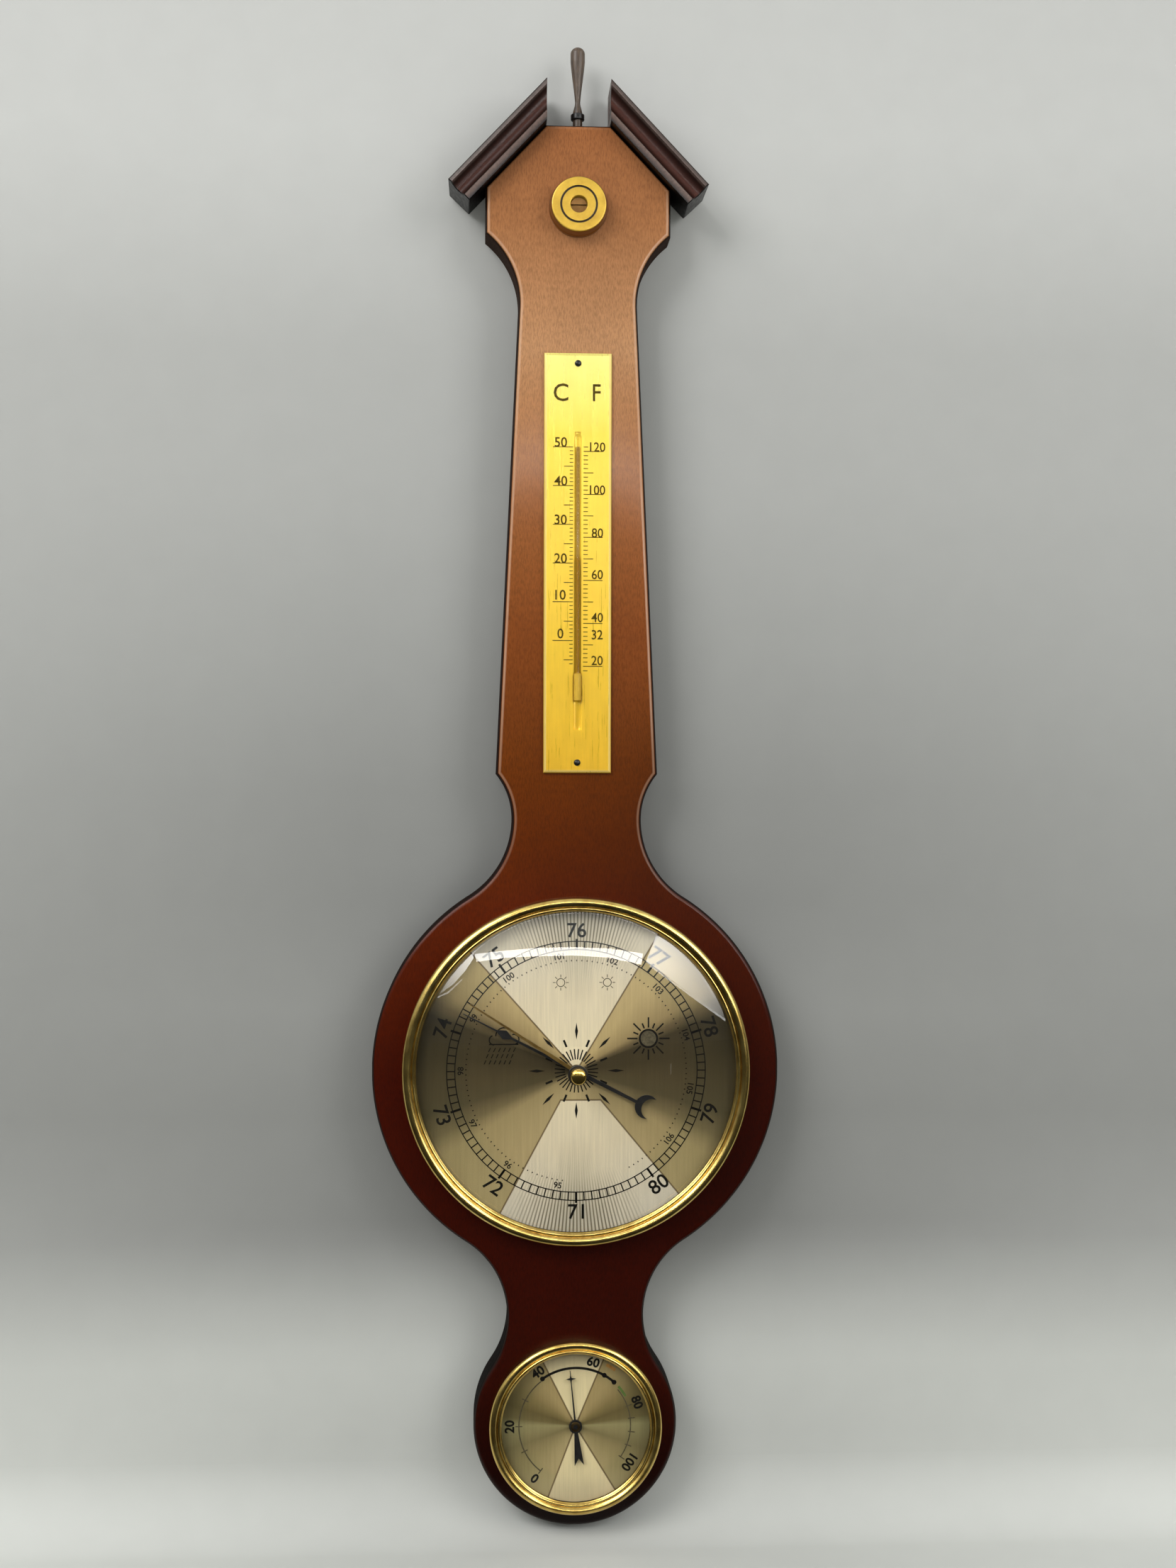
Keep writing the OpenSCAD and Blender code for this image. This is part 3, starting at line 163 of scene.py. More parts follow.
def raised(flat, out):
    """Flat points (..., 2) at one distance from the wall."""
    return np.concatenate([flat, np.full(flat.shape[:-1] + (1,), out)], -1)


def grid_faces(rows, columns, close_rows, close_columns):
    """Quads of a grid of points, numbered row by row."""
    row, column = np.meshgrid(np.arange(rows if close_rows else rows - 1),
                              np.arange(columns if close_columns else columns - 1), indexing="ij")
    low, high = row * columns, (row + 1) % rows * columns
    right = (column + 1) % columns
    quads = np.stack([low + column, low + right, high + right, high + column], -1)
    return quads.reshape(-1, 4)


class Shell:
    """Points and faces of one closed surface, put together from strips and caps."""

    def __init__(self):
        self.points = []
        self.faces = []
        self.count = 0

    def add(self, points, faces):
        """Adds points (n, 3) and faces numbered from 0."""
        self.points.append(np.asarray(points, float).reshape(-1, 3))
        self.faces += [[int(corner) + self.count for corner in face] for face in faces]
        self.count += len(self.points[-1])

    def sheet(self, points, close_rows=False, close_columns=False):
        """Adds a grid of points (rows, columns, 3)."""
        rows, columns = points.shape[:2]
        self.add(points, grid_faces(rows, columns, close_rows, close_columns))

    def wall(self, outlines, outs):
        """Adds a closed wall through flat outlines (n, 2), each at its own distance from the wall."""
        self.sheet(np.stack([raised(*level) for level in zip(outlines, outs)]), close_columns=True)

    def cap(self, outlines, out):
        """Adds a flat face bounded by the first outline, with the others as holes."""
        loops = [raised(outline, out) for outline in outlines]
        triangles = tessellate_polygon([[Vector(p) for p in loop] for loop in loops])
        self.add(np.concatenate(loops), triangles)

    def lathe(self, profile, centre, steps, closed=True, upright=False):
        """Adds a surface of revolution: profile (radius, height) turned about the axis through centre, which
        points out from the wall, or up if upright."""
        turn = np.linspace(0, 2 * np.pi, steps, endpoint=False)[None]
        radius, height = profile[:, :1], profile[:, 1:]
        right, forth, along = radius * np.cos(turn), radius * np.sin(turn), height * np.ones_like(turn)
        if upright:
            points = [centre[0] + right, centre[1] + along, centre[2] + forth]
        else:
            points = [centre[0] + right, centre[1] + forth, along]
        self.sheet(np.stack(points, -1), close_rows=closed, close_columns=True)


class Print(Shell):
    """Print on a flat face: thin closed shapes that reach from just below the face to just above it."""

    def __init__(self, face):
        super().__init__()
        self.low = face - 0.03
        self.high = face + 0.05

    def patch(self, outline):
        """Adds a flat shape with this outline."""
        self.wall([outline, outline], [self.low, self.high])
        self.cap([outline], self.low)
        self.cap([outline], self.high)

    def bars(self, near, far, width):
        """Adds straight bars, each a thin box from near to far (n, 2)."""
        near, far = np.asarray(near, float), np.asarray(far, float)
        along = (far - near) / np.linalg.norm(far - near, axis=1, keepdims=True)
        side = np.stack([-along[:, 1], along[:, 0]], -1) * width / 2
        flat = np.stack([near - side, far - side, far + side, near + side], 1)
        levels = [raised(flat, out) for out in (self.low, self.high)]
        sides = np.array([[0, 3, 2, 1], [4, 5, 6, 7], [0, 1, 5, 4], [1, 2, 6, 5], [2, 3, 7, 6], [3, 0, 4, 7]])
        faces = sides[None] + 8 * np.arange(len(near))[:, None, None]
        self.add(np.concatenate(levels, 1), faces.reshape(-1, 4))

    def spokes(self, centre, clockwise, start, end, width):
        """Adds a bar at each clockwise angle, between two distances from a centre."""
        self.bars(on_dial(centre, clockwise, start), on_dial(centre, clockwise, end), width)

    def band(self, centre, radius, width, start, end, closed=False):
        """Adds a band along a circle between two clockwise angles."""
        angles = np.linspace(start, end, max(12, int(abs(end - start) / 2) + 1))
        if closed:
            angles = angles[:-1]
        inner = on_dial(centre, angles, radius - width / 2)
        outer = on_dial(centre, angles, radius + width / 2)
        edges = ((inner, self.low), (outer, self.low), (outer, self.high), (inner, self.high))
        grid = np.stack([raised(*edge) for edge in edges])
        self.sheet(grid, close_rows=True, close_columns=closed)
        if not closed:
            self.add(grid[:, 0], [[0, 1, 2, 3]])
            self.add(grid[:, -1], [[3, 2, 1, 0]])

    def ring(self, centre, radius, width):
        """Adds a whole circle."""
        self.band(centre, radius, width, 0, 360, closed=True)

    def figures(self, words, place, height, clockwise=0, squeeze=1.0, weight=0.0):
        """Adds upright figures of this height, centred on place and turned clockwise, as thin solid type.

        Weight swells the strokes by that part of a figure's height."""
        curve = bpy.data.curves.new("figures", "FONT")
        curve.body = words
        curve.align_x = "CENTER"
        curve.align_y = "CENTER"
        curve.resolution_u = 3
        curve.extrude = 0.5
        curve.offset = weight
        holder = new_object("figures", curve)
        mesh = bpy.data.meshes.new_from_object(holder.evaluated_get(bpy.context.evaluated_depsgraph_get()))
        corners = np.zeros(len(mesh.vertices) * 3, np.float32)
        mesh.vertices.foreach_get("co", corners)
        corners = corners.reshape(-1, 3).astype(float)
        faces = [list(face.vertices) for face in mesh.polygons]
        bpy.data.objects.remove(holder)
        bpy.data.curves.remove(curve)
        bpy.data.meshes.remove(mesh)
        low, high = corners.min(0), corners.max(0)
        size = height / (high[1] - low[1])
        flat = (corners[:, :2] - (low[:2] + high[:2]) / 2) * size * (squeeze, 1)
        angle = math.radians(clockwise)
        turn = np.array([[math.cos(angle), -math.sin(angle)], [math.sin(angle), math.cos(angle)]])
        depth = np.where(corners[:, 2] > 0, self.high, self.low)
        self.add(np.column_stack([flat @ turn + place, depth]), faces)


def on_dial(centre, clockwise, radius):
    """Points at clockwise angles from up, in degrees, and distances from a dial's centre."""
    angle = np.radians(np.asarray(clockwise, float))
    return np.stack([centre[0] + radius * np.sin(angle), centre[1] + radius * np.cos(angle)], -1)


def new_object(name, data):
    """A new object in the scene."""
    made = bpy.data.objects.new(name, data)
    bpy.context.scene.collection.objects.link(made)
    return made


def facing(mesh):
    """How far each face looks towards the wall: its normal's part along Y."""
    normals = np.zeros(len(mesh.polygons) * 3, np.float32)
    mesh.polygons.foreach_get("normal", normals)
    return normals[1::3]


def new_mesh(name, shell, clean):
    """A mesh of a shell after a clean-up of its faces, smooth where it bends and plain where it is flat."""
    mesh = bpy.data.meshes.new(name)
    mesh.from_pydata(stations(np.concatenate(shell.points)), [], shell.faces)
    work = bmesh.new()
    work.from_mesh(mesh)
    clean(work)
    work.to_mesh(mesh)
    work.free()
    mesh.polygons.foreach_set("use_smooth", np.abs(facing(mesh)) < 0.9999)
    return mesh


def closed_up(work):
    """Merges seams and poles, and turns the faces outwards."""
    bmesh.ops.remove_doubles(work, verts=work.verts, dist=1e-7)
    bmesh.ops.dissolve_degenerate(work, dist=1e-8, edges=work.edges)
    bmesh.ops.recalc_face_normals(work, faces=work.faces)


def make_piece(name, shell, finish, replaces=(), body="housing"):
    """Turns a shell into an object that rides on a body, in place of a CAD solid if one is named."""
    mesh = new_mesh(name, shell, closed_up)
    mesh.set_sharp_from_angle(angle=math.radians(35))
    mesh.materials.append(finish)
    piece = new_object(name, mesh)
    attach(piece, body)
    if replaces:
        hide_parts(*replaces)
    return piece


def turned_piece(name, profile, centre, steps, finish, replaces=(), body="housing", closed=True,
                 upright=False):
    """A piece with one profile, turned about the axis through centre."""
    shell = Shell()
    shell.lathe(profile, centre, steps, closed, upright)
    make_piece(name, shell, finish, replaces, body)


def tone(red, green, blue):
    """A colour written as 0 to 255 values, as the renderer wants it."""
    value = np.array([red, green, blue]) / 255
    return tuple(np.where(value <= 0.04045, value / 12.92, ((value + 0.055) / 1.055) ** 2.4)) + (1.0,)


def feed(tree, socket, value):
    """Gives an input a number, a colour or another node's result. A colour of three parts runs to 255."""
    if isinstance(value, bpy.types.NodeSocket):
        tree.links.new(value, socket)
    elif socket.type == "RGBA" and len(value) == 3:
        socket.default_value = tone(*value)
    else:
        socket.default_value = value


def add_node(tree, kind, inputs, **options):
    """A node with these inputs and options."""
    made = tree.nodes.new("ShaderNode" + kind)
    for option, value in options.items():
        setattr(made, option, value)
    for socket, value in inputs.items():
        feed(tree, made.inputs[socket], value)
    return made


class Finish:
    """A material in the making. Its methods add nodes and return their result."""

    def __init__(self, name, settings):
        self.material = bpy.data.materials.new(name)
        self.material.use_nodes = True
        self.tree = self.material.node_tree
        self.shader = self.tree.nodes["Principled BSDF"]
        for socket, value in settings.items():
            self.set(socket, value)

    def node(self, kind, inputs, **options):
        """A node of this material."""
        return add_node(self.tree, kind, inputs, **options)

    def where(self, scale=(1, 1, 1), centre=(0, 0, 0)):
        """Place on the piece in metres, measured from centre and stretched by scale."""
        place = self.node("TexCoord", {}).outputs["Object"]
        shift = tuple(-c * s for c, s in zip(centre, scale))
        return self.node("Mapping", {"Vector": place, "Location": shift, "Scale": scale}).outputs[0]

    def place(self, centre=(0, 0, 0)):
        """The three parts of the place on the piece in metres, measured from centre."""
        return self.node("SeparateXYZ", {0: self.where(centre=centre)}).outputs

    def around(self, centre):
        """Places right of and above a centre in millimetres, and the distance from it, all in metres."""
        x, _, up = self.place((centre[0] * MM, 0, centre[1] * MM))
        return x, up, self.math("SQRT", self.times_plus(x, x, self.times(up, up)))

    def math(self, operation, first, second=0.0, third=0.0):
        """One sum on one, two or three values."""
        return self.node("Math", {0: first, 1: second, 2: third}, operation=operation).outputs[0]

    def times(self, product, *others):
        """The product of values."""
        for other in others:
            product = self.math("MULTIPLY", product, other)
        return product

    def times_plus(self, first, second, third):
        """The product of two values, plus a third."""
        return self.math("MULTIPLY_ADD", first, second, third)

    def minus(self, first, second):
        """The first value less the second."""
        return self.math("SUBTRACT", first, second)

    def noise(self, stretch, scale, detail, roughness=0.5):
        """Cloudy noise from 0 to 1, with its places stretched along the three axes."""
        inputs = {"Vector": self.where(stretch), "Scale": scale, "Detail": detail, "Roughness": roughness}
        return self.node("TexNoise", inputs).outputs[0]

    def ramp(self, value, stops):
        """A value turned into a colour or a grey, through stops of place and colour."""
        made = self.node("ValToRGB", {0: value})
        band = made.color_ramp
        while len(band.elements) < len(stops):
            band.elements.new(0.5)
        for element, (place, colour) in zip(band.elements, stops):
            element.position = place
            element.color = tone(*colour) if isinstance(colour, tuple) else (colour, colour, colour, 1.0)
        return made.outputs[0]

    def span(self, value, low, high, start=0.0, end=1.0):
        """A value that goes from start to end as another goes from low to high, and stays inside."""
        inputs = {"Value": value, "From Min": low, "From Max": high, "To Min": start, "To Max": end}
        return self.node("MapRange", inputs).outputs[0]

    def blend(self, amount, first, second, way="MIX"):
        """Two colours mixed by an amount."""
        inputs = {0: amount, 6: first, 7: second}
        return self.node("Mix", inputs, data_type="RGBA", blend_type=way).outputs[2]

    def set(self, socket, value):
        """Feeds the shader."""
        feed(self.tree, self.shader.inputs[socket], value)

    def done(self, colour, roughness, height, distance, strength):
        """The material with this colour and roughness, raised by the height times a distance in metres."""
        made = self.node("Bump", {"Height": height, "Distance": distance, "Strength": strength})
        for socket, value in (("Base Color", colour), ("Roughness", roughness), ("Normal", made.outputs[0])):
            self.set(socket, value)
        return self.material

    def see_through(self, amount, tint):
        """Shows what is behind through this tint where the amount is 1."""
        clear = self.node("BsdfTransparent", {"Color": tint}).outputs[0]
        both = self.node("MixShader", {0: amount, 1: self.shader.outputs[0], 2: clear}).outputs[0]
        output = next(node for node in self.tree.nodes if node.type == "OUTPUT_MATERIAL")
        self.tree.links.new(both, output.inputs["Surface"])


def board_wood():
    """Stained and lacquered wood with short upright pores: light at the head and nearly black at the foot,
    partly the wood's staining and partly painted light that brightens the head and fades towards the foot.

    The rounded front edge has painted shade where it turns to the sides and a painted highlight running pale
    along it on the head and shaft, and painted shade dims the right half next to the large dial. The place
    across that edge is 1 - sqrt(1 - t^2), with t from 0 at its side end to 1 at the front."""
    gloss = {"Coat Weight": 0.22, "Coat Roughness": 0.12, "Specular IOR Level": 0.05}
    wood = Finish("stained and lacquered wood", gloss)
    x, depth, height = wood.place()
    up = wood.span(height, STAIN_AND_SHADING_FOOT, STAIN_AND_SHADING_HEAD)
    # The wood's staining together with painted light and shade: the head painted pale as if lit, the foot
    # nearly black
    stain_and_shading = wood.ramp(up, [
        (0.0, (16, 3, 2)), (0.1, (50, 10, 2)), (0.17, (54, 10, 2)), (0.32, (68, 14, 1)),
        (0.44, (90, 30, 2)), (0.49, (101, 42, 4)), (0.56, (114, 56, 13)), (0.64, (130, 68, 25)),
        (0.745, (160, 97, 47)), (0.84, (196, 144, 101)), (0.93, (169, 112, 69)),
        (1.0, (155, 95, 53))])
    pores = wood.ramp(wood.noise((1, 1, 0.2), 2300, 3, 0.65), [(0.36, 0.74), (0.58, 1.03)])
    ripple = wood.span(wood.noise((0.25, 1, 1), 420, 3), 0.3, 0.7, 0.96, 1.04)
    cloud = wood.span(wood.noise((1, 1, 0.5), 34, 3), 0.3, 0.7, 0.93, 1.06)
    front = wood.blend(1.0, stain_and_shading, wood.times(pores, ripple, cloud), "MULTIPLY")
    # Painted shade: the right half of the board next to the large dial is dimmed towards near black
    painted_right_shade = wood.times(
        wood.span(x, -0.03, 0.03), wood.span(height, -0.2, -0.27),
        wood.span(height, -0.45, -0.41, 0.0, 0.42))
    front = wood.blend(painted_right_shade, front, (16, 3, 2))
    t = wood.span(depth, (EDGE_R - BOARD_T) * MM, -BOARD_T * MM)
    flat = wood.minus(1.0, wood.times(t, t))
    across = wood.minus(1.0, wood.math("SQRT", wood.math("MAXIMUM", flat, 0.0)))
    # Painted highlight: a pale line along the rounded front edge of the head and shaft, where the edge starts
    # to turn
    edge_highlight = wood.times(
        wood.span(across, 0.42, 0.55), wood.span(across, 0.75, 0.97, 1.0, 0.0),
        wood.span(height, -0.3, -0.2, 0.0, 0.45), wood.span(height, -0.007, -0.003, 1.0, 0.15))
    front = wood.blend(edge_highlight, front, (228, 184, 152))
    # Painted shade: the rounded edge turns dark brown where it bends towards the sides
    colour = wood.blend(wood.span(across, 0.3, 0.46), (30, 16, 11), front)
    return wood.done(colour, wood.span(pores, 0.6, 1.0, 0.5, 0.34), pores, 0.00003, 0.5)


def side_wood():
    """The board's dark matt sides and back, with grain along its length. Their tone runs from dark brown at
    the head to nearly black at the foot, partly the wood's staining and partly painted shade.
    """
    wood = Finish("dark board side", {"Specular IOR Level": 0.05})
    up = wood.span(wood.place()[2], STAIN_AND_SHADING_FOOT, STAIN_AND_SHADING_HEAD)
    grain = wood.noise((1, 1, 0.1), 1500, 4, 0.6)
    # The wood's staining with painted shade: nearly black at the foot
    stain_and_shading = wood.ramp(up, [
        (0.0, (5, 2, 2)), (0.12, (14, 7, 5)), (0.5, (32, 15, 9)), (1.0, (54, 36, 27))])
    colour = wood.blend(1.0, stain_and_shading, wood.span(grain, 0.3, 0.7, 0.7, 1.15), "MULTIPLY")
    return wood.done(colour, wood.span(grain, 0.3, 0.7, 0.8, 0.62), grain, 0.00003, 0.5)


def moulding_wood():
    """Dark stained moulding with a redder hollow, painted shade on its underside and at the steep edges of
    the hollow, and painted highlights that make its lips a paler grey-brown.
    """
    gloss = {"Coat Weight": 0.16, "Coat Roughness": 0.2, "Specular IOR Level": 0.22}
    wood = Finish("dark stained moulding", gloss)
    x, _, up = wood.place()
    slope = math.pi / 2 - ROOF_ANGLE
    sideways = wood.minus(wood.math("ABSOLUTE", x), ROOF_HALF * MM)
    rise = wood.minus(up, HEAD_TOP * MM)
    across = wood.times_plus(sideways, math.cos(slope), wood.times(rise, math.sin(slope)))
    along = wood.times_plus(sideways, -math.sin(slope), wood.times(rise, math.cos(slope)))
    # Bands across the profile: a painted shadow on the underside, painted highlights on both lips and painted
    # shade at both edges of the hollow
    bands = wood.ramp(wood.span(across, 0, ROOF_W * MM), [
        (0.0, (5, 4, 4)), (0.02, (5, 4, 4)), (0.05, (62, 48, 43)), (0.2, (112, 92, 84)),
        (0.26, (22, 10, 6)), (0.5, (74, 33, 20)), (0.8, (36, 18, 13)), (0.86, (104, 88, 82)),
        (1.0, (70, 60, 56))])
    end = -ROOF_LEN * MM
    bands = wood.blend(wood.span(along, end + 0.0003, end + 0.0005, 1.0, 0.0), bands, (18, 15, 14))
    streaks = wood.span(wood.noise((1, 0.3, 1), 900, 3), 0.3, 0.7, 0.75, 1.15)
    colour = wood.blend(1.0, bands, streaks, "MULTIPLY")
    return wood.done(colour, wood.span(streaks, 0.75, 1.15, 0.5, 0.34), streaks, 0.00003, 0.5)


def plain_wood(name, light, dark):
    """Wood with grain between two tones, for the finial and the dowels."""
    wood = Finish(name, {"Coat Weight": 0.25, "Coat Roughness": 0.25})
    grain = wood.noise((1, 1, 0.08), 1400, 4, 0.6)
    colour = wood.ramp(grain, [(0.35, dark), (0.65, light)])
    return wood.done(colour, wood.span(grain, 0.3, 0.7, 0.55, 0.4), grain, 0.00002, 0.4)


def metal(name, light, dark, roughness, scratch_scale=(1, 1, 0.05), fine=2600):
    """Metal with fine scratches along one direction and small spots of tarnish."""
    sheen = Finish(name, {"Metallic": 1.0})
    scratches = sheen.noise(scratch_scale, fine, 3, 0.65)
    tarnish = sheen.noise((1, 1, 1), 190, 4, 0.6)
    colour = sheen.ramp(tarnish, [(0.3, dark), (0.62, light)])
    colour = sheen.blend(0.12, colour, sheen.ramp(scratches, [(0.3, dark), (0.7, light)]))
    rough = sheen.times_plus(scratches, roughness * 0.5, roughness * 0.7)
    rough = sheen.times_plus(tarnish, roughness * 0.2, rough)
    return sheen.done(colour, rough, scratches, 0.000004, 0.4)


def turned_brass(name, centre, light, dark, roughness, groove=None, rim=None, metallic=1.0):
    """Brass turned on a lathe: fine rings about centre, a dark groove at one radius and a painted dark
    reflection on the rounded rim.
    """
    sheen = Finish(name, {"Metallic": metallic, "Coat Weight": 0.4, "Coat Roughness": 0.08})
    radius = sheen.around(centre)[2]
    rings = sheen.math("SINE", sheen.times(radius, 21000))
    tarnish = sheen.noise((1, 1, 1), 160, 4, 0.6)
    colour = sheen.ramp(tarnish, [(0.32, dark), (0.64, light)])
    if groove:
        middle, half = groove[0] * MM, groove[1] * MM
        away = sheen.math("ABSOLUTE", sheen.minus(radius, middle))
        colour = sheen.blend(sheen.span(away, half, half * 1.5, 1.0, 0.0), colour, (52, 34, 14))
    if rim:
        # Painted reflection: the rounded rim of the face is painted brown, as it mirrors dark
        dark_rim_reflection = sheen.span(radius, rim * MM - 0.0003, rim * MM)
        colour = sheen.blend(dark_rim_reflection, colour, (124, 78, 30))
    rough = sheen.times_plus(tarnish, roughness * 0.5, roughness * 0.75)
    return sheen.done(colour, rough, rings, 0.000002, 0.35)


def scale_plate_brass():
    """Gilt plate, brushed upright: deeper gold below and lemon at the top, where a painted reflection
    lightens it, with painted highlights just inside its edges and painted shade along the edges themselves."""
    plate = Finish("brushed scale brass", {"Metallic": 0.3, "Specular IOR Level": 0.6})
    x, _, height = plate.place()
    # Painted reflection: the plate turns lemon towards the top
    gold = plate.ramp(plate.span(height, -0.243, -0.07), [
        (0.0, (235, 183, 34)), (0.3, (238, 194, 42)), (0.55, (242, 199, 56)),
        (0.8, (246, 206, 66)), (1.0, (248, 234, 130))])
    brushed = plate.noise((1, 1, 0.04), 1800, 3)
    spots = plate.noise((1, 1, 0.7), 150, 3)
    shade = plate.times(plate.span(brushed, 0.3, 0.7, 0.96, 1.03), plate.span(spots, 0.3, 0.7, 0.96, 1.03))
    gold = plate.blend(1.0, gold, shade, "MULTIPLY")
    margin = plate.minus(PLATE_HALF * MM, plate.math("ABSOLUTE", x))
    margin = plate.math("MINIMUM", margin, plate.minus(height, PLATE_FOOT * MM))
    # Painted highlights: pale lines just inside the edges
    pale = plate.times(plate.span(margin, 0.0002, 0.0005), plate.span(margin, 0.0009, 0.0013, 0.75, 0.0))
    gold = plate.blend(pale, gold, (255, 226, 140))
    # Painted shade: a brown line along the very edges
    colour = plate.blend(plate.span(margin, 0.0001, 0.0003, 0.8, 0.0), gold, (150, 108, 34))
    return plate.done(colour, plate.span(brushed, 0.3, 0.7, 0.26, 0.4), brushed, 0.000004, 0.4)


def sector(dial, x, up, start, end):
    """Distance in metres inside the sector between two clockwise angles from up, less than 0 outside."""
    first, last = (dial.times_plus(x, math.cos(angle), dial.times(up, -math.sin(angle)))
                   for angle in (math.radians(start), math.radians(end)))
    return dial.math("MINIMUM", first, dial.times(last, -1.0))


def dial_metal(name, centre, top, bottom, flat_cut, ribs, reach, creams, sheen):
    """Silvered dial: cream sectors above and below with brown border lines, with a painted grey shade down
    their upright middle when ribbed, and olive sides with a painted sheen that darkens to the middle."""
    dial = Finish(name, {"Metallic": 0.15, "Specular IOR Level": 0.25})
    x, up, radius = dial.around(centre)
    edge = reach * MM
    turn = dial.math("ARCTAN2", x, up)
    lower = dial.math("MINIMUM", sector(dial, x, up, *bottom), dial.minus(-flat_cut * MM, up))
    inside = dial.math("MAXIMUM", sector(dial, x, up, *top), lower)
    away = dial.math("MAXIMUM", radius, 0.0005)
    lift = dial.math("DIVIDE", dial.math("ABSOLUTE", up), away)
    signed = dial.math("DIVIDE", up, away)
    # Painted sheen: the olive sides are lit by angle, brightest near the sector borders and dim at the middle
    side = dial.ramp(dial.span(signed, -1, 1), sheen)
    outer = dial.span(radius, edge * 0.66, edge * 0.74)
    side = dial.blend(dial.times(outer, 0.6), side, (236, 242, 240), "MULTIPLY")
    spread = dial.span(radius, 0.0, edge)
    cream = dial.ramp(spread, [(0.0, creams[0]), (0.5, creams[1]), (1.0, creams[2])])
    wave = dial.math("SINE", dial.times(turn, ribs))
    shine = 1.0 if ribs else 0.0
    near_rim = dial.span(radius, edge * 0.62, edge * 0.85)
    upright = dial.span(lift, 0.89, 0.98)
    middle = dial.span(radius, edge * 0.4, edge * 0.8)
    # Painted shade: a grey streak down the upright middle of the cream sectors, on the ribbed dial only
    grey = dial.times(dial.span(lift, 0.97, 1.0, 0.0, 0.3), middle)
    cream = dial.blend(dial.times(grey, shine), cream, (140, 136, 112))
    strength = dial.math("MAXIMUM", dial.times(near_rim, upright, 0.8), dial.times(grey, 0.8))
    cream = dial.blend(dial.times(dial.span(wave, -0.2, 0.8), strength), cream, (92, 80, 56))
    colour = dial.blend(dial.span(inside, -0.0001, 0.0001), side, cream)
    border = dial.span(dial.math("ABSOLUTE", inside), 0.00018, 0.00042, 0.85, 0.0)
    colour = dial.blend(border, colour, (92, 68, 36))
    brushed = dial.noise((1, 1, 0.03), 1900, 3)
    colour = dial.blend(1.0, colour, dial.span(brushed, 0.3, 0.7, 0.93, 1.05), "MULTIPLY")
    rough = dial.span(brushed, 0.3, 0.7, 0.34, 0.46)
    return dial.done(colour, rough, dial.times(wave, near_rim), 0.00001, 0.25)


def clear_glass(name, tint, bending):
    """Glass that lets the lamps through to what is behind it, with a trace of dust in its gloss."""
    glass = Finish(name, {"Transmission Weight": 1.0, "IOR": bending, "Base Color": tint})
    dust = glass.noise((1, 1, 1), 700, 3)
    glass.set("Roughness", glass.span(dust, 0.5, 0.8, 0.0, 0.004))
    glass.see_through(glass.node("LightPath", {}).outputs["Is Shadow Ray"], tint)
    return glass.material


def column_liquid():
    """Amber liquid, pale in the bulb and brown in the thin column, with faint clouds."""
    liquid = Finish("thermometer liquid", {"Specular IOR Level": 0.1})
    height = liquid.place()[2]
    cloud = liquid.noise((1, 1, 1), 700, 3)
    column = liquid.span(height, BULB_TOP * MM - 0.0002, BULB_TOP * MM + 0.0008)
    amber = liquid.blend(column, (206, 166, 60), (150, 108, 26))
    colour = liquid.blend(1.0, amber, liquid.span(cloud, 0.3, 0.7, 0.92, 1.05), "MULTIPLY")
    return liquid.done(colour, liquid.span(cloud, 0.3, 0.7, 0.55, 0.7), cloud, 0.000004, 0.3)


def enamel(name, light, dark, roughness, gloss=0.1):
    """Printed ink or black lacquer: two close tones in small clouds."""
    paint = Finish(name, {"Specular IOR Level": gloss})
    cloud = paint.noise((1, 1, 1), 900, 3)
    colour = paint.ramp(cloud, [(0.35, dark), (0.65, light)])
    return paint.done(colour, paint.span(cloud, 0.3, 0.7, roughness, roughness * 1.35), cloud, 0.000004, 0.4)


def dress(finish, *names):
    """Gives CAD solids a finish."""
    for name in names:
        cad[name].data.materials.clear()
        cad[name].data.materials.append(finish)


BOARD = board_wood()
BOARD_SIDE = side_wood()
MOULDING = moulding_wood()
FINIAL = plain_wood("finial wood", (96, 76, 58), (58, 44, 33))
BLACK = enamel("black lacquer", (24, 22, 21), (13, 12, 12), 0.3, gloss=0.5)
INK = enamel("black dial ink", (26, 22, 16), (14, 12, 9), 0.6)
FAINT_INK = enamel("worn dial ink", (96, 88, 66), (74, 66, 48), 0.6)
SCALE_INK = enamel("olive scale ink", (92, 76, 20), (66, 52, 12), 0.6)
ORANGE_INK = enamel("orange arc ink", (190, 140, 74), (170, 122, 62), 0.6)
GREEN_INK = enamel("green arc ink", (96, 120, 60), (80, 104, 50), 0.6)
COLUMN_INK = enamel("brown column line", (168, 132, 60), (150, 114, 46), 0.5)
BEZEL = turned_brass("polished bezel brass", MAIN, (238, 208, 122), (208, 172, 88), 0.22)
SMALL_BEZEL = turned_brass("polished small bezel brass", LOW, (234, 202, 114), (202, 164, 80), 0.22)
ROSETTE = turned_brass("rosette brass", (0.0, ROSETTE_UP), (226, 184, 64), (204, 160, 50), 0.36,
                       (7.2, 0.34), 11.15, 0.45)
KNOB = metal("polished knob brass", (244, 212, 116), (214, 172, 78), 0.14)
HUB = metal("dark hub brass", (96, 78, 46), (62, 48, 28), 0.3)
GLASS = clear_glass("clear domed glass", (0.985, 0.99, 0.985, 1.0), 1.46)
TUBE_GLASS = clear_glass("clear tube glass", (0.98, 0.985, 0.96, 1.0), 1.12)

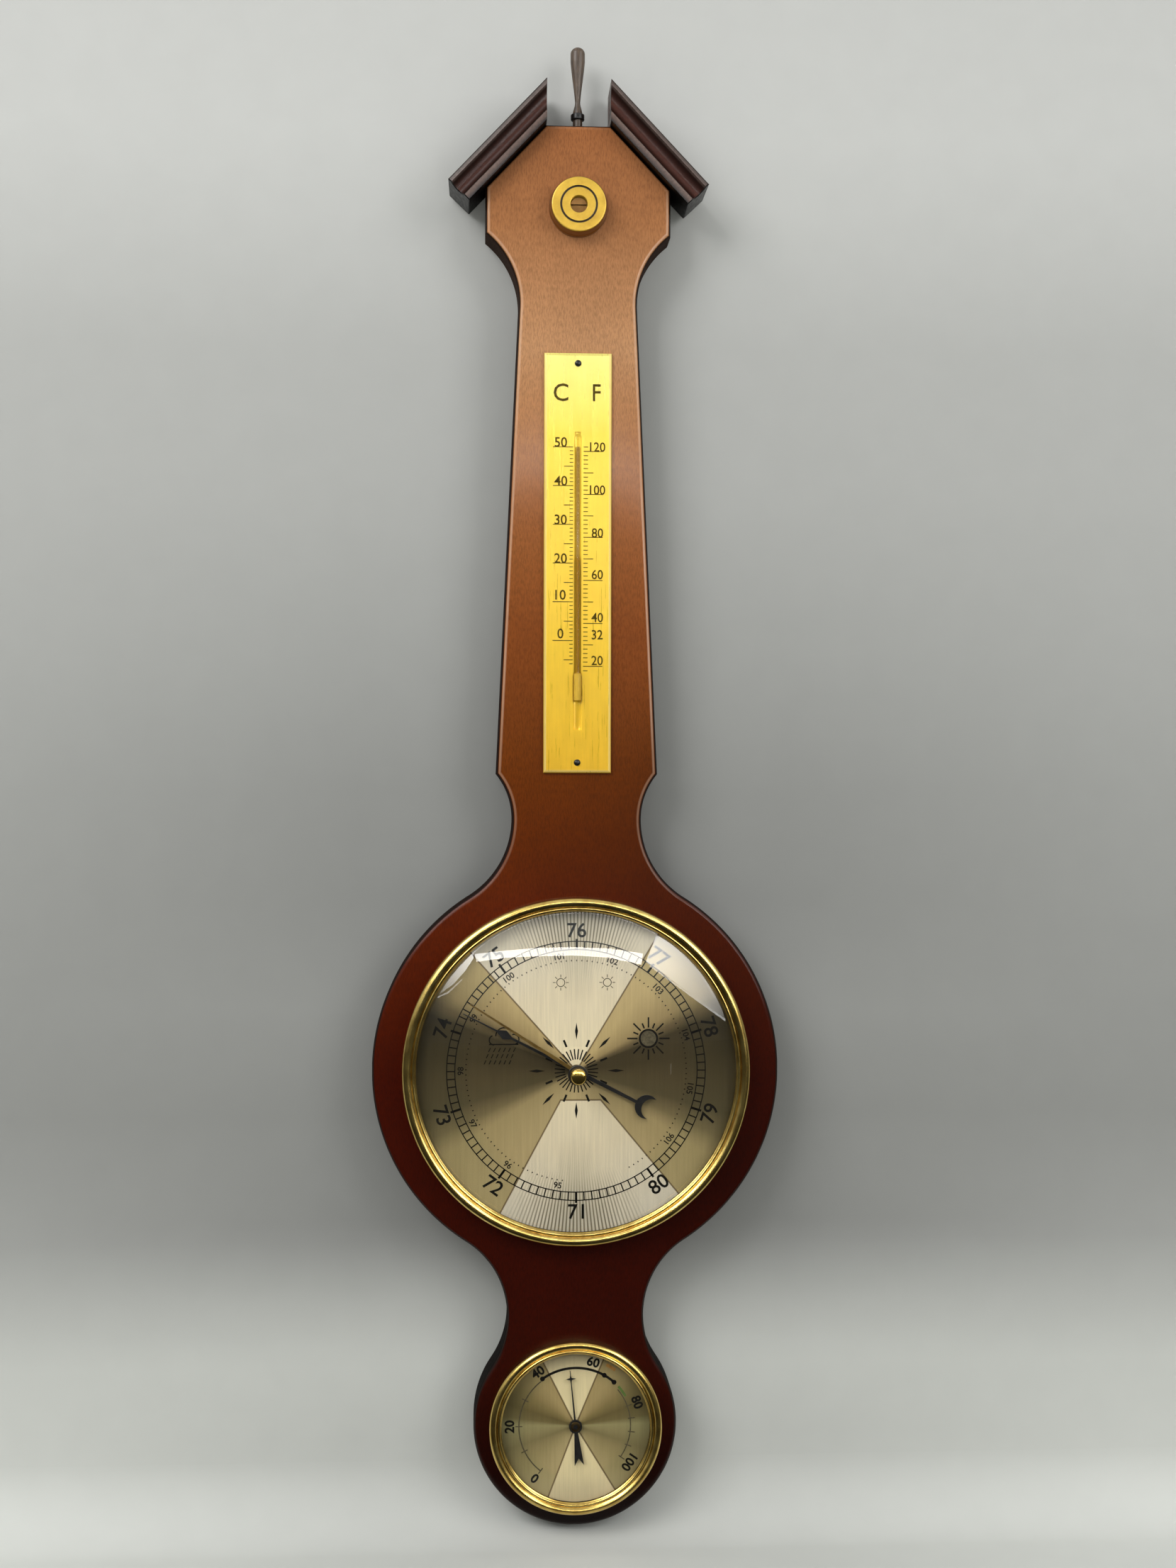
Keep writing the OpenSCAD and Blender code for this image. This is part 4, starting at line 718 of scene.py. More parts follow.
dress(BLACK, "indicator_hand", "hygrometer_pointer")
dress(scale_plate_brass(), "thermometer_plate")
dress(column_liquid(), "thermometer_liquid")
dress(plain_wood("dowel wood", (170, 128, 84), (128, 88, 52)), "pediment_dowels")
dress(turned_brass("dull seat ring brass", MAIN, (120, 92, 40), (80, 58, 22), 0.4),
      "barometer_seat_ring", "hygrometer_seat_ring")
dress(metal("set hand brass", (176, 144, 82), (140, 108, 54), 0.34), "set_hand")
dress(metal("darkened screw brass", (148, 110, 66), (100, 70, 40), 0.4), "rosette_screw")
dress(metal("plated steel", (196, 196, 192), (150, 150, 148), 0.32),
      "hanger_plate", "hanger_screws", "case_screws", "bed_screws", "bar_screw", "bracket_screws",
      "bridge_screws", "sector_screw", "hygrometer_screws", "hygrometer_bridge_screws", "adjusting_screw",
      "capsule_post")
dress(metal("movement brass", (214, 176, 92), (182, 142, 66), 0.3, (0.06, 1, 1)),
      "bed_plate", "shaft_brackets", "sector_gear", "movement_bridge", "bridge_pillars",
      "hygrometer_bridge", "coil_post")
dress(metal("spring steel", (150, 150, 150), (110, 110, 112), 0.3),
      "capsule_spring_bar", "rocking_shaft", "pinion_arbor", "hygrometer_arbor")
dress(metal("blued steel", (70, 82, 130), (40, 48, 88), 0.28), "hairspring")
dress(metal("capsule metal", (206, 184, 124), (170, 146, 88), 0.34, (1, 1, 1)),
      "capsule_drum", "capsule_diaphragm")
dress(metal("spun case metal", (188, 184, 170), (150, 146, 132), 0.42, (1, 1, 1), 900),
      "barometer_case", "hygrometer_case")
dress(metal("humidity strip", (196, 160, 110), (160, 124, 78), 0.4), "humidity_coil")

# Painted sheen of the olive side sectors, by height across each dial
MAIN_PAINTED_SHEEN = [
    (0.0, (188, 166, 118)), (0.23, (166, 146, 100)), (0.29, (120, 105, 70)), (0.36, (84, 73, 46)),
    (0.46, (78, 66, 40)), (0.56, (66, 56, 33)), (0.68, (64, 54, 32)), (0.72, (108, 92, 60)),
    (0.76, (156, 134, 90)), (0.88, (192, 168, 116))]
LOW_PAINTED_SHEEN = [
    (0.0, (188, 168, 120)), (0.2, (156, 140, 94)), (0.34, (132, 118, 78)), (0.45, (148, 136, 92)),
    (0.51, (154, 144, 98)), (0.57, (118, 104, 64)), (0.66, (108, 94, 54)), (0.78, (138, 120, 74)),
    (0.9, (172, 150, 100))]
dress(dial_metal("silvered barometer dial", MAIN, (-41.8, 31.0), (140.2, 208.2), 11.8, 269.0, OPENING_R,
                 ((244, 228, 190), (228, 212, 178), (214, 204, 182)), MAIN_PAINTED_SHEEN), "barometer_dial")
dress(dial_metal("silvered hygrometer dial", LOW, (-27.0, 23.0), (148.3, 201.0), 0.0, 0.0, SMALL_OPENING_R,
                 ((244, 226, 174), (236, 218, 168), (222, 204, 160)), LOW_PAINTED_SHEEN), "hygrometer_dial")


def board_outline():
    """The board's outline, anticlockwise from its foot: on the right six arcs and the straight sides between
    them, on the left their mirror image.

    The CAD part's arcs are chains of short straight sides, so the outline is cut back to their reach."""
    shoulder = HEAD_TOP - (HEAD_HALF - ROOF_HALF) * math.tan(ROOF_ANGLE)
    side_foot = shoulder - HEAD_SIDE
    cut_x = SHAFT_TOP_HALF + HEAD_CUT_R
    cut = (cut_x, side_foot - math.sqrt(HEAD_CUT_R ** 2 - (cut_x - HEAD_HALF) ** 2))
    neck_x = NECK_HALF + NECK_FOOT_R
    neck = (neck_x, MAIN_UP + math.sqrt((MAIN_R + NECK_FOOT_R) ** 2 - neck_x ** 2))
    narrowing, drop = SHAFT_FOOT[0] - NECK_HALF, SHAFT_FOOT[1] - neck[1]
    neck_top_r = (narrowing ** 2 + drop ** 2) / (2 * narrowing)
    neck_top = (NECK_HALF + neck_top_r, neck[1])
    gap = MAIN_UP - LOW_UP
    waist_drop = ((MAIN_R + WAIST_R) ** 2 - (LOW_R + WAIST_R) ** 2 + gap ** 2) / (2 * gap)
    waist = (math.sqrt((MAIN_R + WAIST_R) ** 2 - waist_drop ** 2), MAIN_UP - waist_drop)
    reach = math.dist(SHAFT_FOOT, cut)
    touch_way = math.radians(bearing(SHAFT_FOOT, cut)) + math.asin(HEAD_CUT_R / reach)
    length = math.sqrt(reach ** 2 - HEAD_CUT_R ** 2)
    touch = (SHAFT_FOOT[0] + length * math.cos(touch_way), SHAFT_FOOT[1] + length * math.sin(touch_way))
    parts = [
        arc(LOW, LOW_R, -90, bearing(LOW, waist), 48)[:-1],
        arc(waist, WAIST_R, bearing(waist, LOW) % 360, bearing(waist, MAIN) % 360, 40)[:-1],
        arc(MAIN, MAIN_R, bearing(MAIN, waist), bearing(MAIN, neck), 96)[:-1],
        arc(neck, NECK_FOOT_R, bearing(neck, MAIN) % 360, 180, 28)[:-1],
        arc(neck_top, neck_top_r, 180, bearing(neck_top, SHAFT_FOOT), 16)[:-1],
        np.linspace(SHAFT_FOOT, touch, 12)[:-1],
        arc(cut, HEAD_CUT_R, bearing(cut, touch) % 360, bearing(cut, (HEAD_HALF, side_foot)) % 360, 28)[:-1],
        np.array([(HEAD_HALF, side_foot), (HEAD_HALF, shoulder), (ROOF_HALF, HEAD_TOP), (0.0, HEAD_TOP)]),
    ]
    right = np.concatenate(parts)
    right[:, 0] = np.minimum(right[:, 0], MAIN_R - FACET)
    right[:, 1] = np.maximum(right[:, 1], LOW_UP - LOW_R + FACET)
    return np.concatenate([right, right[-2:0:-1] * (-1, 1)])


def build_board():
    """The shaped board: a quarter-round front edge, two round openings and the hanger's recess behind."""
    outline = board_outline()
    turn = np.radians(np.linspace(0, 90, 8))
    insets = np.concatenate([[0.0], EDGE_R * (1 - np.cos(turn))])
    outs = np.concatenate([[0.0], BOARD_T - EDGE_R + EDGE_R * np.sin(turn)])
    levels = [inset(outline, i) for i in insets]
    shell = Shell()
    shell.wall(levels, outs)
    openings = [arc(MAIN, BOARD_OPENING_R, 0, 360, 145)[:-1],
                arc(LOW, SMALL_BOARD_OPENING_R, 0, 360, 97)[:-1]]
    shell.cap([levels[-1]] + openings, BOARD_T)
    for opening in openings:
        shell.wall([opening, opening], [0.0, BOARD_T])
    recess = np.array([(-1, -1), (1, -1), (1, 1), (-1, 1)]) * RECESS_HALF
    pocket = np.concatenate([
        arc((0, 0), POCKET_R, 180, 360, 25), arc((0, POCKET_RISE), POCKET_R, 0, 180, 25)])
    shell.cap([outline] + openings + [recess], 0.0)
    shell.wall([recess, recess], [0.0, RECESS_DEPTH])
    shell.cap([recess, pocket], RECESS_DEPTH)
    shell.wall([pocket, pocket], [RECESS_DEPTH, POCKET_FLOOR])
    shell.cap([pocket], POCKET_FLOOR)
    board = make_piece("shaped_board", shell, BOARD, ["backboard"])
    board.data.materials.append(BOARD_SIDE)
    board.data.polygons.foreach_set("material_index", (facing(board.data) > -0.5).astype(np.int32))


def build_pediment(side):
    """A roof moulding: its profile with a hollow, carried down the slope and cut upright at the peak."""
    slope = math.pi / 2 - ROOF_ANGLE
    proud, lip_drop = 0.15, 0.7
    hollow = (ROOF_W - LIP_W - COVE_R, ROOF_T + proud)
    start = -math.degrees(math.asin(proud / COVE_R))
    end = -180 + math.degrees(math.asin((proud + lip_drop) / COVE_R))
    corners = softened([(0, 0), (ROOF_W, 0), (ROOF_W, ROOF_T)], 0.5)
    lip = softened([(0, ROOF_T - lip_drop), (0, 0), (1, 1)], 0.4)[:6]
    profile = np.concatenate([corners, arc(hollow, COVE_R, start, end, 26), lip])
    narrow = inset(profile, 0.35)
    u = profile[:, 0]
    top = (u * math.cos(slope) + 0.25) / math.sin(slope)
    level = np.ones(len(u))
    rows = [(narrow, -ROOF_LEN * level), (profile, (0.35 - ROOF_LEN) * level), (profile, top)]
    grid = []
    for shape, along in rows:
        x = ROOF_HALF + shape[:, 0] * math.cos(slope) - along * math.sin(slope)
        up = HEAD_TOP + shape[:, 0] * math.sin(slope) + along * math.cos(slope)
        grid.append(np.column_stack([side * x, up, shape[:, 1]]))
    shell = Shell()
    shell.sheet(np.stack(grid), close_columns=True)
    for row in (grid[0], grid[-1]):
        flat = [Vector((p[1], p[2], 0.0)) for p in row]
        shell.add(row, tessellate_polygon([flat]))
    hand = "right" if side > 0 else "left"
    make_piece("moulding_" + hand, shell, MOULDING, ["pediment_" + hand])


def ease(t):
    """A smooth step from 0 to 1."""
    return (1 - np.cos(np.pi * t)) / 2


def build_finial():
    """The turned finial on its black collar: flared foot, thin waist and a bulb that swells evenly."""
    bulb, foot, height, tenon, collar_low, collar_top = 2.95, 1.95, 34.2, -6.9, 4.3, 6.8
    waist = 0.36 * bulb
    flare_end, belly_end, tip_start = 0.18, 0.78, 0.9
    t = np.linspace(0, 1, 110)
    flare = foot - (foot - waist) * ease(np.clip(t / flare_end, 0, 1))
    s = np.clip((t - flare_end) / (belly_end - flare_end), 0, 1)
    belly = waist + (bulb - waist) * (0.75 * s + 0.25 * ease(s))
    tip = bulb * np.sqrt(np.clip(1 - ((t - tip_start) / (1 - tip_start)) ** 2, 0, 1))
    radius = np.where(t < flare_end, flare, np.where(t < tip_start, belly, tip))
    upper = np.column_stack([radius, collar_top + (height - collar_top) * t])
    neck = foot - 0.4
    lower = np.array([(0, tenon), (foot, tenon), (foot, collar_low), (neck, collar_low), (neck, collar_top)])
    centre = (0, HEAD_TOP, FINIAL_OUT)
    profile = np.concatenate([lower, upper])
    turned_piece("turned_finial", profile, centre, 64, FINIAL, ["finial"], closed=False,
                 upright=True)
    corners = [(1.56, collar_low), (2.8, collar_low), (2.8, collar_top), (1.56, collar_top)]
    collar = softened(corners, [0.02, 0.5, 0.6, 0.02], 8)
    turned_piece("finial_collar", collar, centre, 64, BLACK, ["finial_ring"], upright=True)


def build_rosette():
    """The brass rosette: a softly rounded edge, a groove in its face and a hole for its screw."""
    corners = [(1.7, BOARD_T), (12.0, BOARD_T), (12.0, 17.6), (11.7, 18.4), (11.3, 21.3), (10.8, 21.8),
               (7.5, 21.8), (7.5, 21.1), (6.9, 21.1), (6.9, 21.8), (3.45, 21.8), (3.45, 17.5), (1.7, 17.5)]
    radii = [0.05, 0.1, 0.4, 0.4, 0.4, 0.4, 0.12, 0.05, 0.05, 0.12, 0.35, 0.1, 0.05]
    profile = softened(corners, radii)
    turned_piece("brass_rosette", profile, (0.0, ROSETTE_UP), 144, ROSETTE, ["rosette"])


def bezel_profile(rim, seat, bead, bead_r, bead_end, dip, lip, lip_r, opening, under):
    """A bezel's section: an outer half-round bead, a groove, and a thin inner bead over the glass."""
    count = round(bead_r * 5) + 16
    return np.concatenate([
        [(seat, BOARD_T), (rim, BOARD_T)], arc(bead, bead_r, 0, bead_end, count), [dip],
        arc(lip, lip_r, 20, 190, count - 8), [(opening, under), (seat, under)]])


def build_bezels():
    """Both brass bezels."""
    profile = bezel_profile(BEZEL_R, 68.65, (68.15, 21.6), 2.1, 132, (66.62, 22.35), (65.72, 22.0), 0.78,
                            OPENING_R, 21.46)
    turned_piece("polished_bezel", profile, MAIN, 240, BEZEL, ["barometer_bezel"])
    profile = bezel_profile(SMALL_BEZEL_R, 33.82, (33.3, 20.8), 1.6, 138, (31.7, 21.5), (30.95, 21.35), 0.68,
                            SMALL_OPENING_R, 20.96)
    turned_piece("polished_small_bezel", profile, LOW, 180, SMALL_BEZEL,
                 ["hygrometer_bezel"])


def dome_profile(foot, rise, thickness, rim, rim_out, rim_top, hole):
    """Glass section: inner and outer spherical arcs with one centre, and a flat rim."""
    radius = (foot ** 2 + rise ** 2) / (2 * rise)
    centre = rim_top + rise - radius
    r = np.linspace(hole, foot, 84)
    outer = np.column_stack([r, centre + np.sqrt(radius ** 2 - r ** 2)])
    inner_out = centre + np.sqrt((radius - thickness) ** 2 - r ** 2)
    inner = np.column_stack([r, np.maximum(inner_out, rim_out - 0.3)])
    return np.concatenate([inner, [(foot + 0.01, rim_out), (rim, rim_out), (rim, rim_top)], outer[::-1]])


def build_glasses():
    """The domed barometer glass with its middle hole and the flatter hygrometer glass."""
    profile = dome_profile(DOME_FOOT_R, DOME_H, GLASS_T, GLASS_RIM_R, RIM_OUT, RIM_TOP, GLASS_HOLE_R)
    turned_piece("domed_glass", profile, MAIN, 288, GLASS, ["barometer_glass"])
    profile = dome_profile(SMALL_DOME_FOOT_R, SMALL_DOME_H, SMALL_GLASS_T, SMALL_GLASS_RIM_R, SMALL_RIM_OUT,
                           SMALL_RIM_TOP, 0.0)
    turned_piece("hygrometer_dome", profile, LOW, 144, GLASS, ["hygrometer_glass"],
                 closed=False)


def build_pins():
    """Round-headed pins at both ends of the thermometer plate."""
    shell = Shell()
    for up in PIN_UPS:
        head = arc((0, 0), 1.0, 0, 90, 10) * (1.35, 0.88) + (0, PLATE_OUT)
        profile = np.concatenate([[(0, 8.5), (0.7, 8.5), (0.7, PLATE_OUT)], head])
        shell.lathe(profile, (0.0, up), 32, closed=False)
    make_piece("black_pin_heads", shell, BLACK, ["thermometer_pins"])


def build_knob():
    """The set knob, a round-topped brass button with a milled edge on its shaft, and its bush in the glass.
    The knob's radius is less by 0.09 (1 + cos 24a) / 2 in the milled part."""
    turn = np.linspace(0, 2 * np.pi, 288, endpoint=False)[None]
    side = softened([(0.0, 31.4), (3.05, 31.4), (3.15, 32.2), (3.15, 34.6), (2.95, 36.2), (0.0, 37.0)],
                    [0.01, 0.35, 0.3, 0.5, 1.4, 0.01], 8)
    profile = np.concatenate([[(0.0, 21.1), (1.25, 21.1), (1.25, 31.4)], side[8:-8], [(0.0, 36.95)]])
    radius, height = profile[:, :1], profile[:, 1:]
    milled = ((height > 32.0) & (height < 34.8)) * 0.09
    radius = radius - milled * (1 + np.cos(24 * turn)) / 2
    points = [radius * np.cos(turn), MAIN_UP + radius * np.sin(turn), height * np.ones_like(turn)]
    shell = Shell()
    shell.sheet(np.stack(points, -1), close_columns=True)
    make_piece("milled_set_knob", shell, KNOB, ["set_knob"], "setting_hand")
    corners = [(1.3, 27.72), (3.8, 27.72), (3.8, 28.3), (3.0, 28.3), (3.0, 30.42), (4.0, 30.42), (4.0, 31.0),
               (1.3, 31.0)]
    radii = [0.05, 0.1, 0.1, 0.02, 0.02, 0.1, 0.25, 0.05]
    profile = softened(corners, radii)
    turned_piece("black_glass_bush", profile, MAIN, 96, BLACK, ["glass_bush"])


def build_main_ink():
    """Everything printed on the barometer dial: ring of tenths, pressure figures, inner scale, sun, rain and
    star."""
    dark = Print(DIAL_OUT)
    inner, outer = 48.9, 52.2
    dark.ring(MAIN, inner, 0.42)
    dark.ring(MAIN, outer, 0.42)
    dark.spokes(MAIN, np.arange(-50, 50) * 3.6, inner, outer, 0.5)
    dark.spokes(MAIN, np.arange(-5, 5) * 36.0, inner, 53.2, 0.9)
    scales = ((range(71, 81), 76, 36.0, 56.7, 6.0, 0.012), (range(95, 107), 101.325, 27.0, 46.6, 2.5, 0.015))
    for values, at_top, step, radius, height, weight in scales:
        for value in values:
            angle = (value - at_top) * step
            lean = angle if abs(angle) < 100 else angle + 180
            dark.figures(str(value), on_dial(MAIN, angle, radius), height, lean, weight=weight)
    dark.spokes(MAIN, np.arange(-172.8, 153.0, 2.7), 44.2, 44.75, 0.4)
    star = np.arange(8) * 45.0
    for centre_line in star:
        tip, foot = on_dial(MAIN, centre_line, 19.4), on_dial(MAIN, centre_line, 12.6)
        middle = (tip + foot) / 2
        aside = on_dial((0, 0), centre_line + 90, 0.62)
        dark.patch(np.array([foot, middle + aside, tip, middle - aside]))
    dark.spokes(MAIN, star + 22.5, 10.4, 13.4, 0.85)
    dark.spokes(MAIN, np.arange(32) * 11.25 + 5.6, 4.6, 8.8, 0.5)
    make_piece("barometer_print", dark, INK)
    icons = Print(DIAL_OUT)
    sun = (29.1, MAIN_UP + 12.9)
    icons.ring(sun, 3.5, 0.8)
    rays = np.arange(16)
    icons.spokes(sun, rays * 22.5, 4.4, np.where(rays % 2 == 0, 8.6, 6.6), 0.62)
    cloud = np.array([-29.6, MAIN_UP + 13.4])
    puffs = ((-3.6, -0.9, 1.9, -180, -20), (0.4, 0.8, 3.3, -92, 62), (4.4, -0.6, 2.0, -20, 160))
    for right, up, radius, start, end in puffs:
        icons.band(cloud + (right, up), radius, 0.5, start, end)
    icons.bars([cloud + (-5.6, -2.6)], [cloud + (6.2, -2.6)], 0.5)
    column, row = np.meshgrid(np.arange(6), np.arange(3), indexing="ij")
    drops = cloud + np.stack([column * 2.0 - 5.0 - row * 0.9, -4.0 - row * 2.5], -1).reshape(-1, 2)
    icons.bars(drops, drops + (-0.8, -1.6), 0.38)
    make_piece("weather_signs", icons, INK)
    faint = Print(DIAL_OUT)
    for right in (-6.4, 12.4):
        small_sun = (right, MAIN_UP + 35.6)
        faint.ring(small_sun, 1.6, 0.34)
        faint.spokes(small_sun, star, 2.1, 3.2, 0.3)
    faint.ring(sun, 1.55, 3.0)
    make_piece("faint_weather_signs", faint, FAINT_INK)


def build_low_ink():
    """Everything printed on the hygrometer dial, percent figures and arcs, and the cap on the pointer's
    hub."""
    dark = Print(SMALL_DIAL_OUT)
    for value, angle in zip(range(0, 101, 20), (-142, -90, -35, 15.7, 70, 125)):
        dark.figures(str(value), on_dial(LOW, angle, 26.6), 4.0, angle, weight=0.03)
    dark.band(LOW, 23.3, 1.0, -35, 42)
    for angle in (-35, 30, 42):
        dark.ring(on_dial(LOW, angle, 23.3), 0.5, 0.96)
    make_piece("hygrometer_print", dark, INK)
    faint = Print(SMALL_DIAL_OUT)
    faint.band(LOW, 22.8, 0.5, -142, -37)
    faint.band(LOW, 22.3, 0.45, 50, 125)
    faint.spokes(LOW, [-142.0, -116, -90, -62.5, 70, 83, 97, 111, 125], 21.4, 24.2, 0.42)
    make_piece("hygrometer_circle", faint, FAINT_INK)
    corners = [(0, 18.6), (2.0, 18.6), (2.0, 18.95), (1.1, 19.15), (0, 19.15)]
    cap = softened(corners, [0.01, 0.02, 0.2, 0.2, 0.01])[6:-6]
    turned_piece("pointer_hub_cap", cap, LOW, 64, HUB, body="humidity_hand", closed=False)
    orange, green = Print(SMALL_DIAL_OUT), Print(SMALL_DIAL_OUT)
    orange.band(LOW, 27.4, 1.3, 27, 36)
    green.band(LOW, 23.3, 1.0, 48, 60)
    make_piece("orange_arc", orange, ORANGE_INK)
    make_piece("green_arc", green, GREEN_INK)


def build_scale_ink():
    """Temperature lines and figures on the brass plate, in degrees C on the left and F on the right."""
    ink = Print(PLATE_OUT)
    zero, step = -188.0, 1.567
    celsius, heat = np.arange(-6, 51), np.arange(18, 123, 2)
    scales = ((celsius, celsius, 5, -1.9, (-10.1, -5.6, -3.3)),
              (heat, (heat - 32) / 1.8, 10, 2.3, (10.1, 6.3, 4.1)))
    for marks, degrees, group, start, (long, middling, short) in scales:
        up = zero + degrees * step
        ends = np.where(marks % (2 * group) == 0, long, np.where(marks % group == 0, middling, short))
        ink.bars(np.stack([np.full(len(marks), start), up], -1), np.stack([ends, up], -1), 0.32)
    for value in range(0, 60, 10):
        rise = 1.9 if value > 15 else 2.8
        ink.figures(str(value), (-6.9, zero + value * step + rise), 4.1, squeeze=0.95, weight=0.012)
    for value in (20, 32, 40, 60, 80, 100, 120):
        rise = 1.8 if value > 65 else 2.4
        place = (8.0, zero + (value - 32) / 1.8 * step + rise)
        ink.figures(str(value), place, 3.9, squeeze=0.9, weight=0.012)
    ink.figures("C", (-6.9, -87.6), 7.2, squeeze=0.95, weight=0.005)
    ink.figures("F", (7.6, -87.6), 6.9, squeeze=0.85, weight=0.005)
    make_piece("temperature_scale", ink, SCALE_INK)
    line = Print(PLATE_OUT)
    line.bars([(0.0, zero + 50 * step)], [(0.0, BULB_TOP)], 0.9)
    make_piece("column_line", line, COLUMN_INK)


def build_tube():
    """The glass tube with its bulb and solid tail, hollow for the column."""
    corners = [(0, -22), (1.2, -22), (1.5, -21), (1.5, -11.8), (1.9, -11), (1.9, -0.8), (1.5, 0.4),
               (1.5, 96), (0.9, 97), (0, 97)]
    outer = softened(corners, [0.01, 0.3, 0.3, 0.3, 0.4, 0.4, 0.3, 0.5, 0.3, 0.01], 5)[5:-5]
    shell = Shell()
    shell.lathe(np.concatenate([[(0, -22)], outer, [(0, 97)]]), (0, BULB_TOP, TUBE_OUT), 48, False, True)
    bore = np.array([(0, -10.7), (1.35, -10.7), (1.35, 0.0), (0.56, 0.4), (0.56, 95.0), (0, 95.0)])
    shell.lathe(bore[::-1], (0, BULB_TOP, TUBE_OUT), 36, False, True)
    make_piece("thermometer_glass", shell, TUBE_GLASS, ["thermometer_tube"])


build_board()
build_pediment(1)
build_pediment(-1)
build_finial()
build_rosette()
build_bezels()
build_glasses()
build_pins()
build_knob()
build_tube()
build_main_ink()
build_low_ink()
build_scale_ink()


def backdrop_finish():
    """Matt grey paper with painted light and shade: paler at the top and near the floor, and with a painted
    soft shadow next to the board. Its far part mirrors dark, as the room's floor did, and it can be seen
    through from behind."""
    paper = Finish("grey paper", {"Roughness": 0.9, "Specular IOR Level": 0.1})
    right, ahead, height = paper.place()
    up = paper.span(height, -0.62, 0.12)
    # Painted light and shade: the paper's tone by height
    colour = paper.ramp(up, [
        (0.0, (217, 218, 213)), (0.1, (211, 212, 207)), (0.18, (201, 202, 197)),
        (0.25, (163, 163, 160)), (0.32, (149, 149, 146)), (0.42, (155, 155, 152)),
        (0.5, (162, 162, 159)), (0.58, (172, 172, 169)), (0.68, (181, 181, 178)),
        (0.75, (183, 183, 180)), (0.82, (195, 195, 192)), (0.87, (202, 202, 199)),
        (1.0, (200, 200, 197))])
    sideways = paper.math("ABSOLUTE", right)
    # Painted shadow: soft shade on the paper next to the board, by height and distance from the middle
    painted_shadow_near_board = paper.ramp(up, [
        (0.0, 0.1), (0.14, 0.16), (0.19, 0.02), (0.215, 0.06), (0.26, 0.3), (0.31, 0.14), (0.38, 0.04),
        (0.44, 0.2), (0.5, 0.2), (0.56, 0.14), (0.66, 0.05), (0.8, 0.0)])
    painted_shadow_near_board = paper.times(painted_shadow_near_board, paper.span(sideways, 0.09, 0.24, 1.0, 0.0))
    colour = paper.blend(painted_shadow_near_board, colour, (40, 40, 39))
    fleck = paper.noise((1, 1, 1), 60, 2)
    colour = paper.blend(1.0, colour, paper.span(fleck, 0.3, 0.7, 0.99, 1.01), "MULTIPLY")
    glossy = paper.node("LightPath", {}).outputs["Is Glossy Ray"]
    unseen = paper.times(glossy, paper.span(ahead, -0.03, -0.08))
    paper.set("Base Color", paper.blend(unseen, colour, (24, 24, 23)))
    paper.see_through(paper.node("NewGeometry", {}).outputs["Backfacing"], (1.0, 1.0, 1.0, 1.0))
    return paper.material


def turned_forward(work):
    """Turns faces that look back or down to look forward or up."""
    forward = Vector((0.0, -1.0, 1.0))
    bmesh.ops.reverse_faces(work, faces=[face for face in work.faces if face.normal.dot(forward) < 0])


def build_backdrop():
    """A wall just behind the board that curves forward into the floor, along a quarter circle, and more floor
    behind it. The wall has an opening, a margin inside the board's outline, to light the back."""
    bend, wall, floor, far, high, margin = 28.0, -2.0, -553.5, 5000.0, 4000.0, 3.5
    turn = np.radians(np.linspace(0, 90, 24))
    bent = np.stack([floor + bend * (1 - np.sin(turn)), wall + bend * (1 - np.cos(turn))], -1)
    shell = Shell()
    for line in (np.concatenate([bent, [(floor, far)]]), np.array([(floor, wall + bend), (floor, -far)])):
        rows = np.linspace(-far, far, 3)[:, None] * np.ones(len(line))
        shell.sheet(np.stack([rows, rows * 0 + line[:, 0], rows * 0 + line[:, 1]], -1))
    opening = inset(board_outline(), margin)
    opening[:, 1] = np.maximum(opening[:, 1], floor + bend + 0.5)
    sheet = np.array([(-far, floor + bend), (far, floor + bend), (far, high), (-far, high)])
    shell.cap([sheet, opening], wall)
    mesh = new_mesh("paper_sweep", shell, turned_forward)
    mesh.materials.append(backdrop_finish())
    sweep = new_object("paper_sweep", mesh)


def build_camera():
    """The camera where the photograph was taken from, by its fitted place, turn and angle of view."""
    yaw, pitch, roll = math.radians(3.305), math.radians(0.049), math.radians(0.148)
    forward = Vector((math.sin(yaw) * math.cos(pitch), math.cos(yaw) * math.cos(pitch), math.sin(pitch)))
    right = Vector((math.cos(yaw), -math.sin(yaw), 0.0))
    up = right.cross(forward)
    right, up = (right * math.cos(roll) + up * math.sin(roll), up * math.cos(roll) - right * math.sin(roll))
    view = bpy.data.cameras.new("camera")
    view.lens = 43.62
    view.sensor_width = 36.0
    view.clip_start = 0.01
    place = (-0.0399, -0.7853, -0.2467)
    holder = new_object("camera", view)
    holder.matrix_world = Matrix([*zip(right, up, -forward, place), (0, 0, 0, 1)])
    bpy.context.scene.camera = holder


def view_rays(pixels):
    """Where the camera is, and the ways it looks through these pixels of the photograph: ahead, plus right
    times the pixels right of the middle / FOCAL, less up times the pixels below it / FOCAL, one long."""
    matrix = np.array(bpy.context.scene.camera.matrix_world)
    side = (pixels[..., :1] - PHOTO_CENTRE[0]) / FOCAL
    rise = (pixels[..., 1:] - PHOTO_CENTRE[1]) / FOCAL
    way = -matrix[:3, 2] + matrix[:3, 0] * side - matrix[:3, 1] * rise
    return matrix[:3, 3], way / np.linalg.norm(way, axis=-1, keepdims=True)


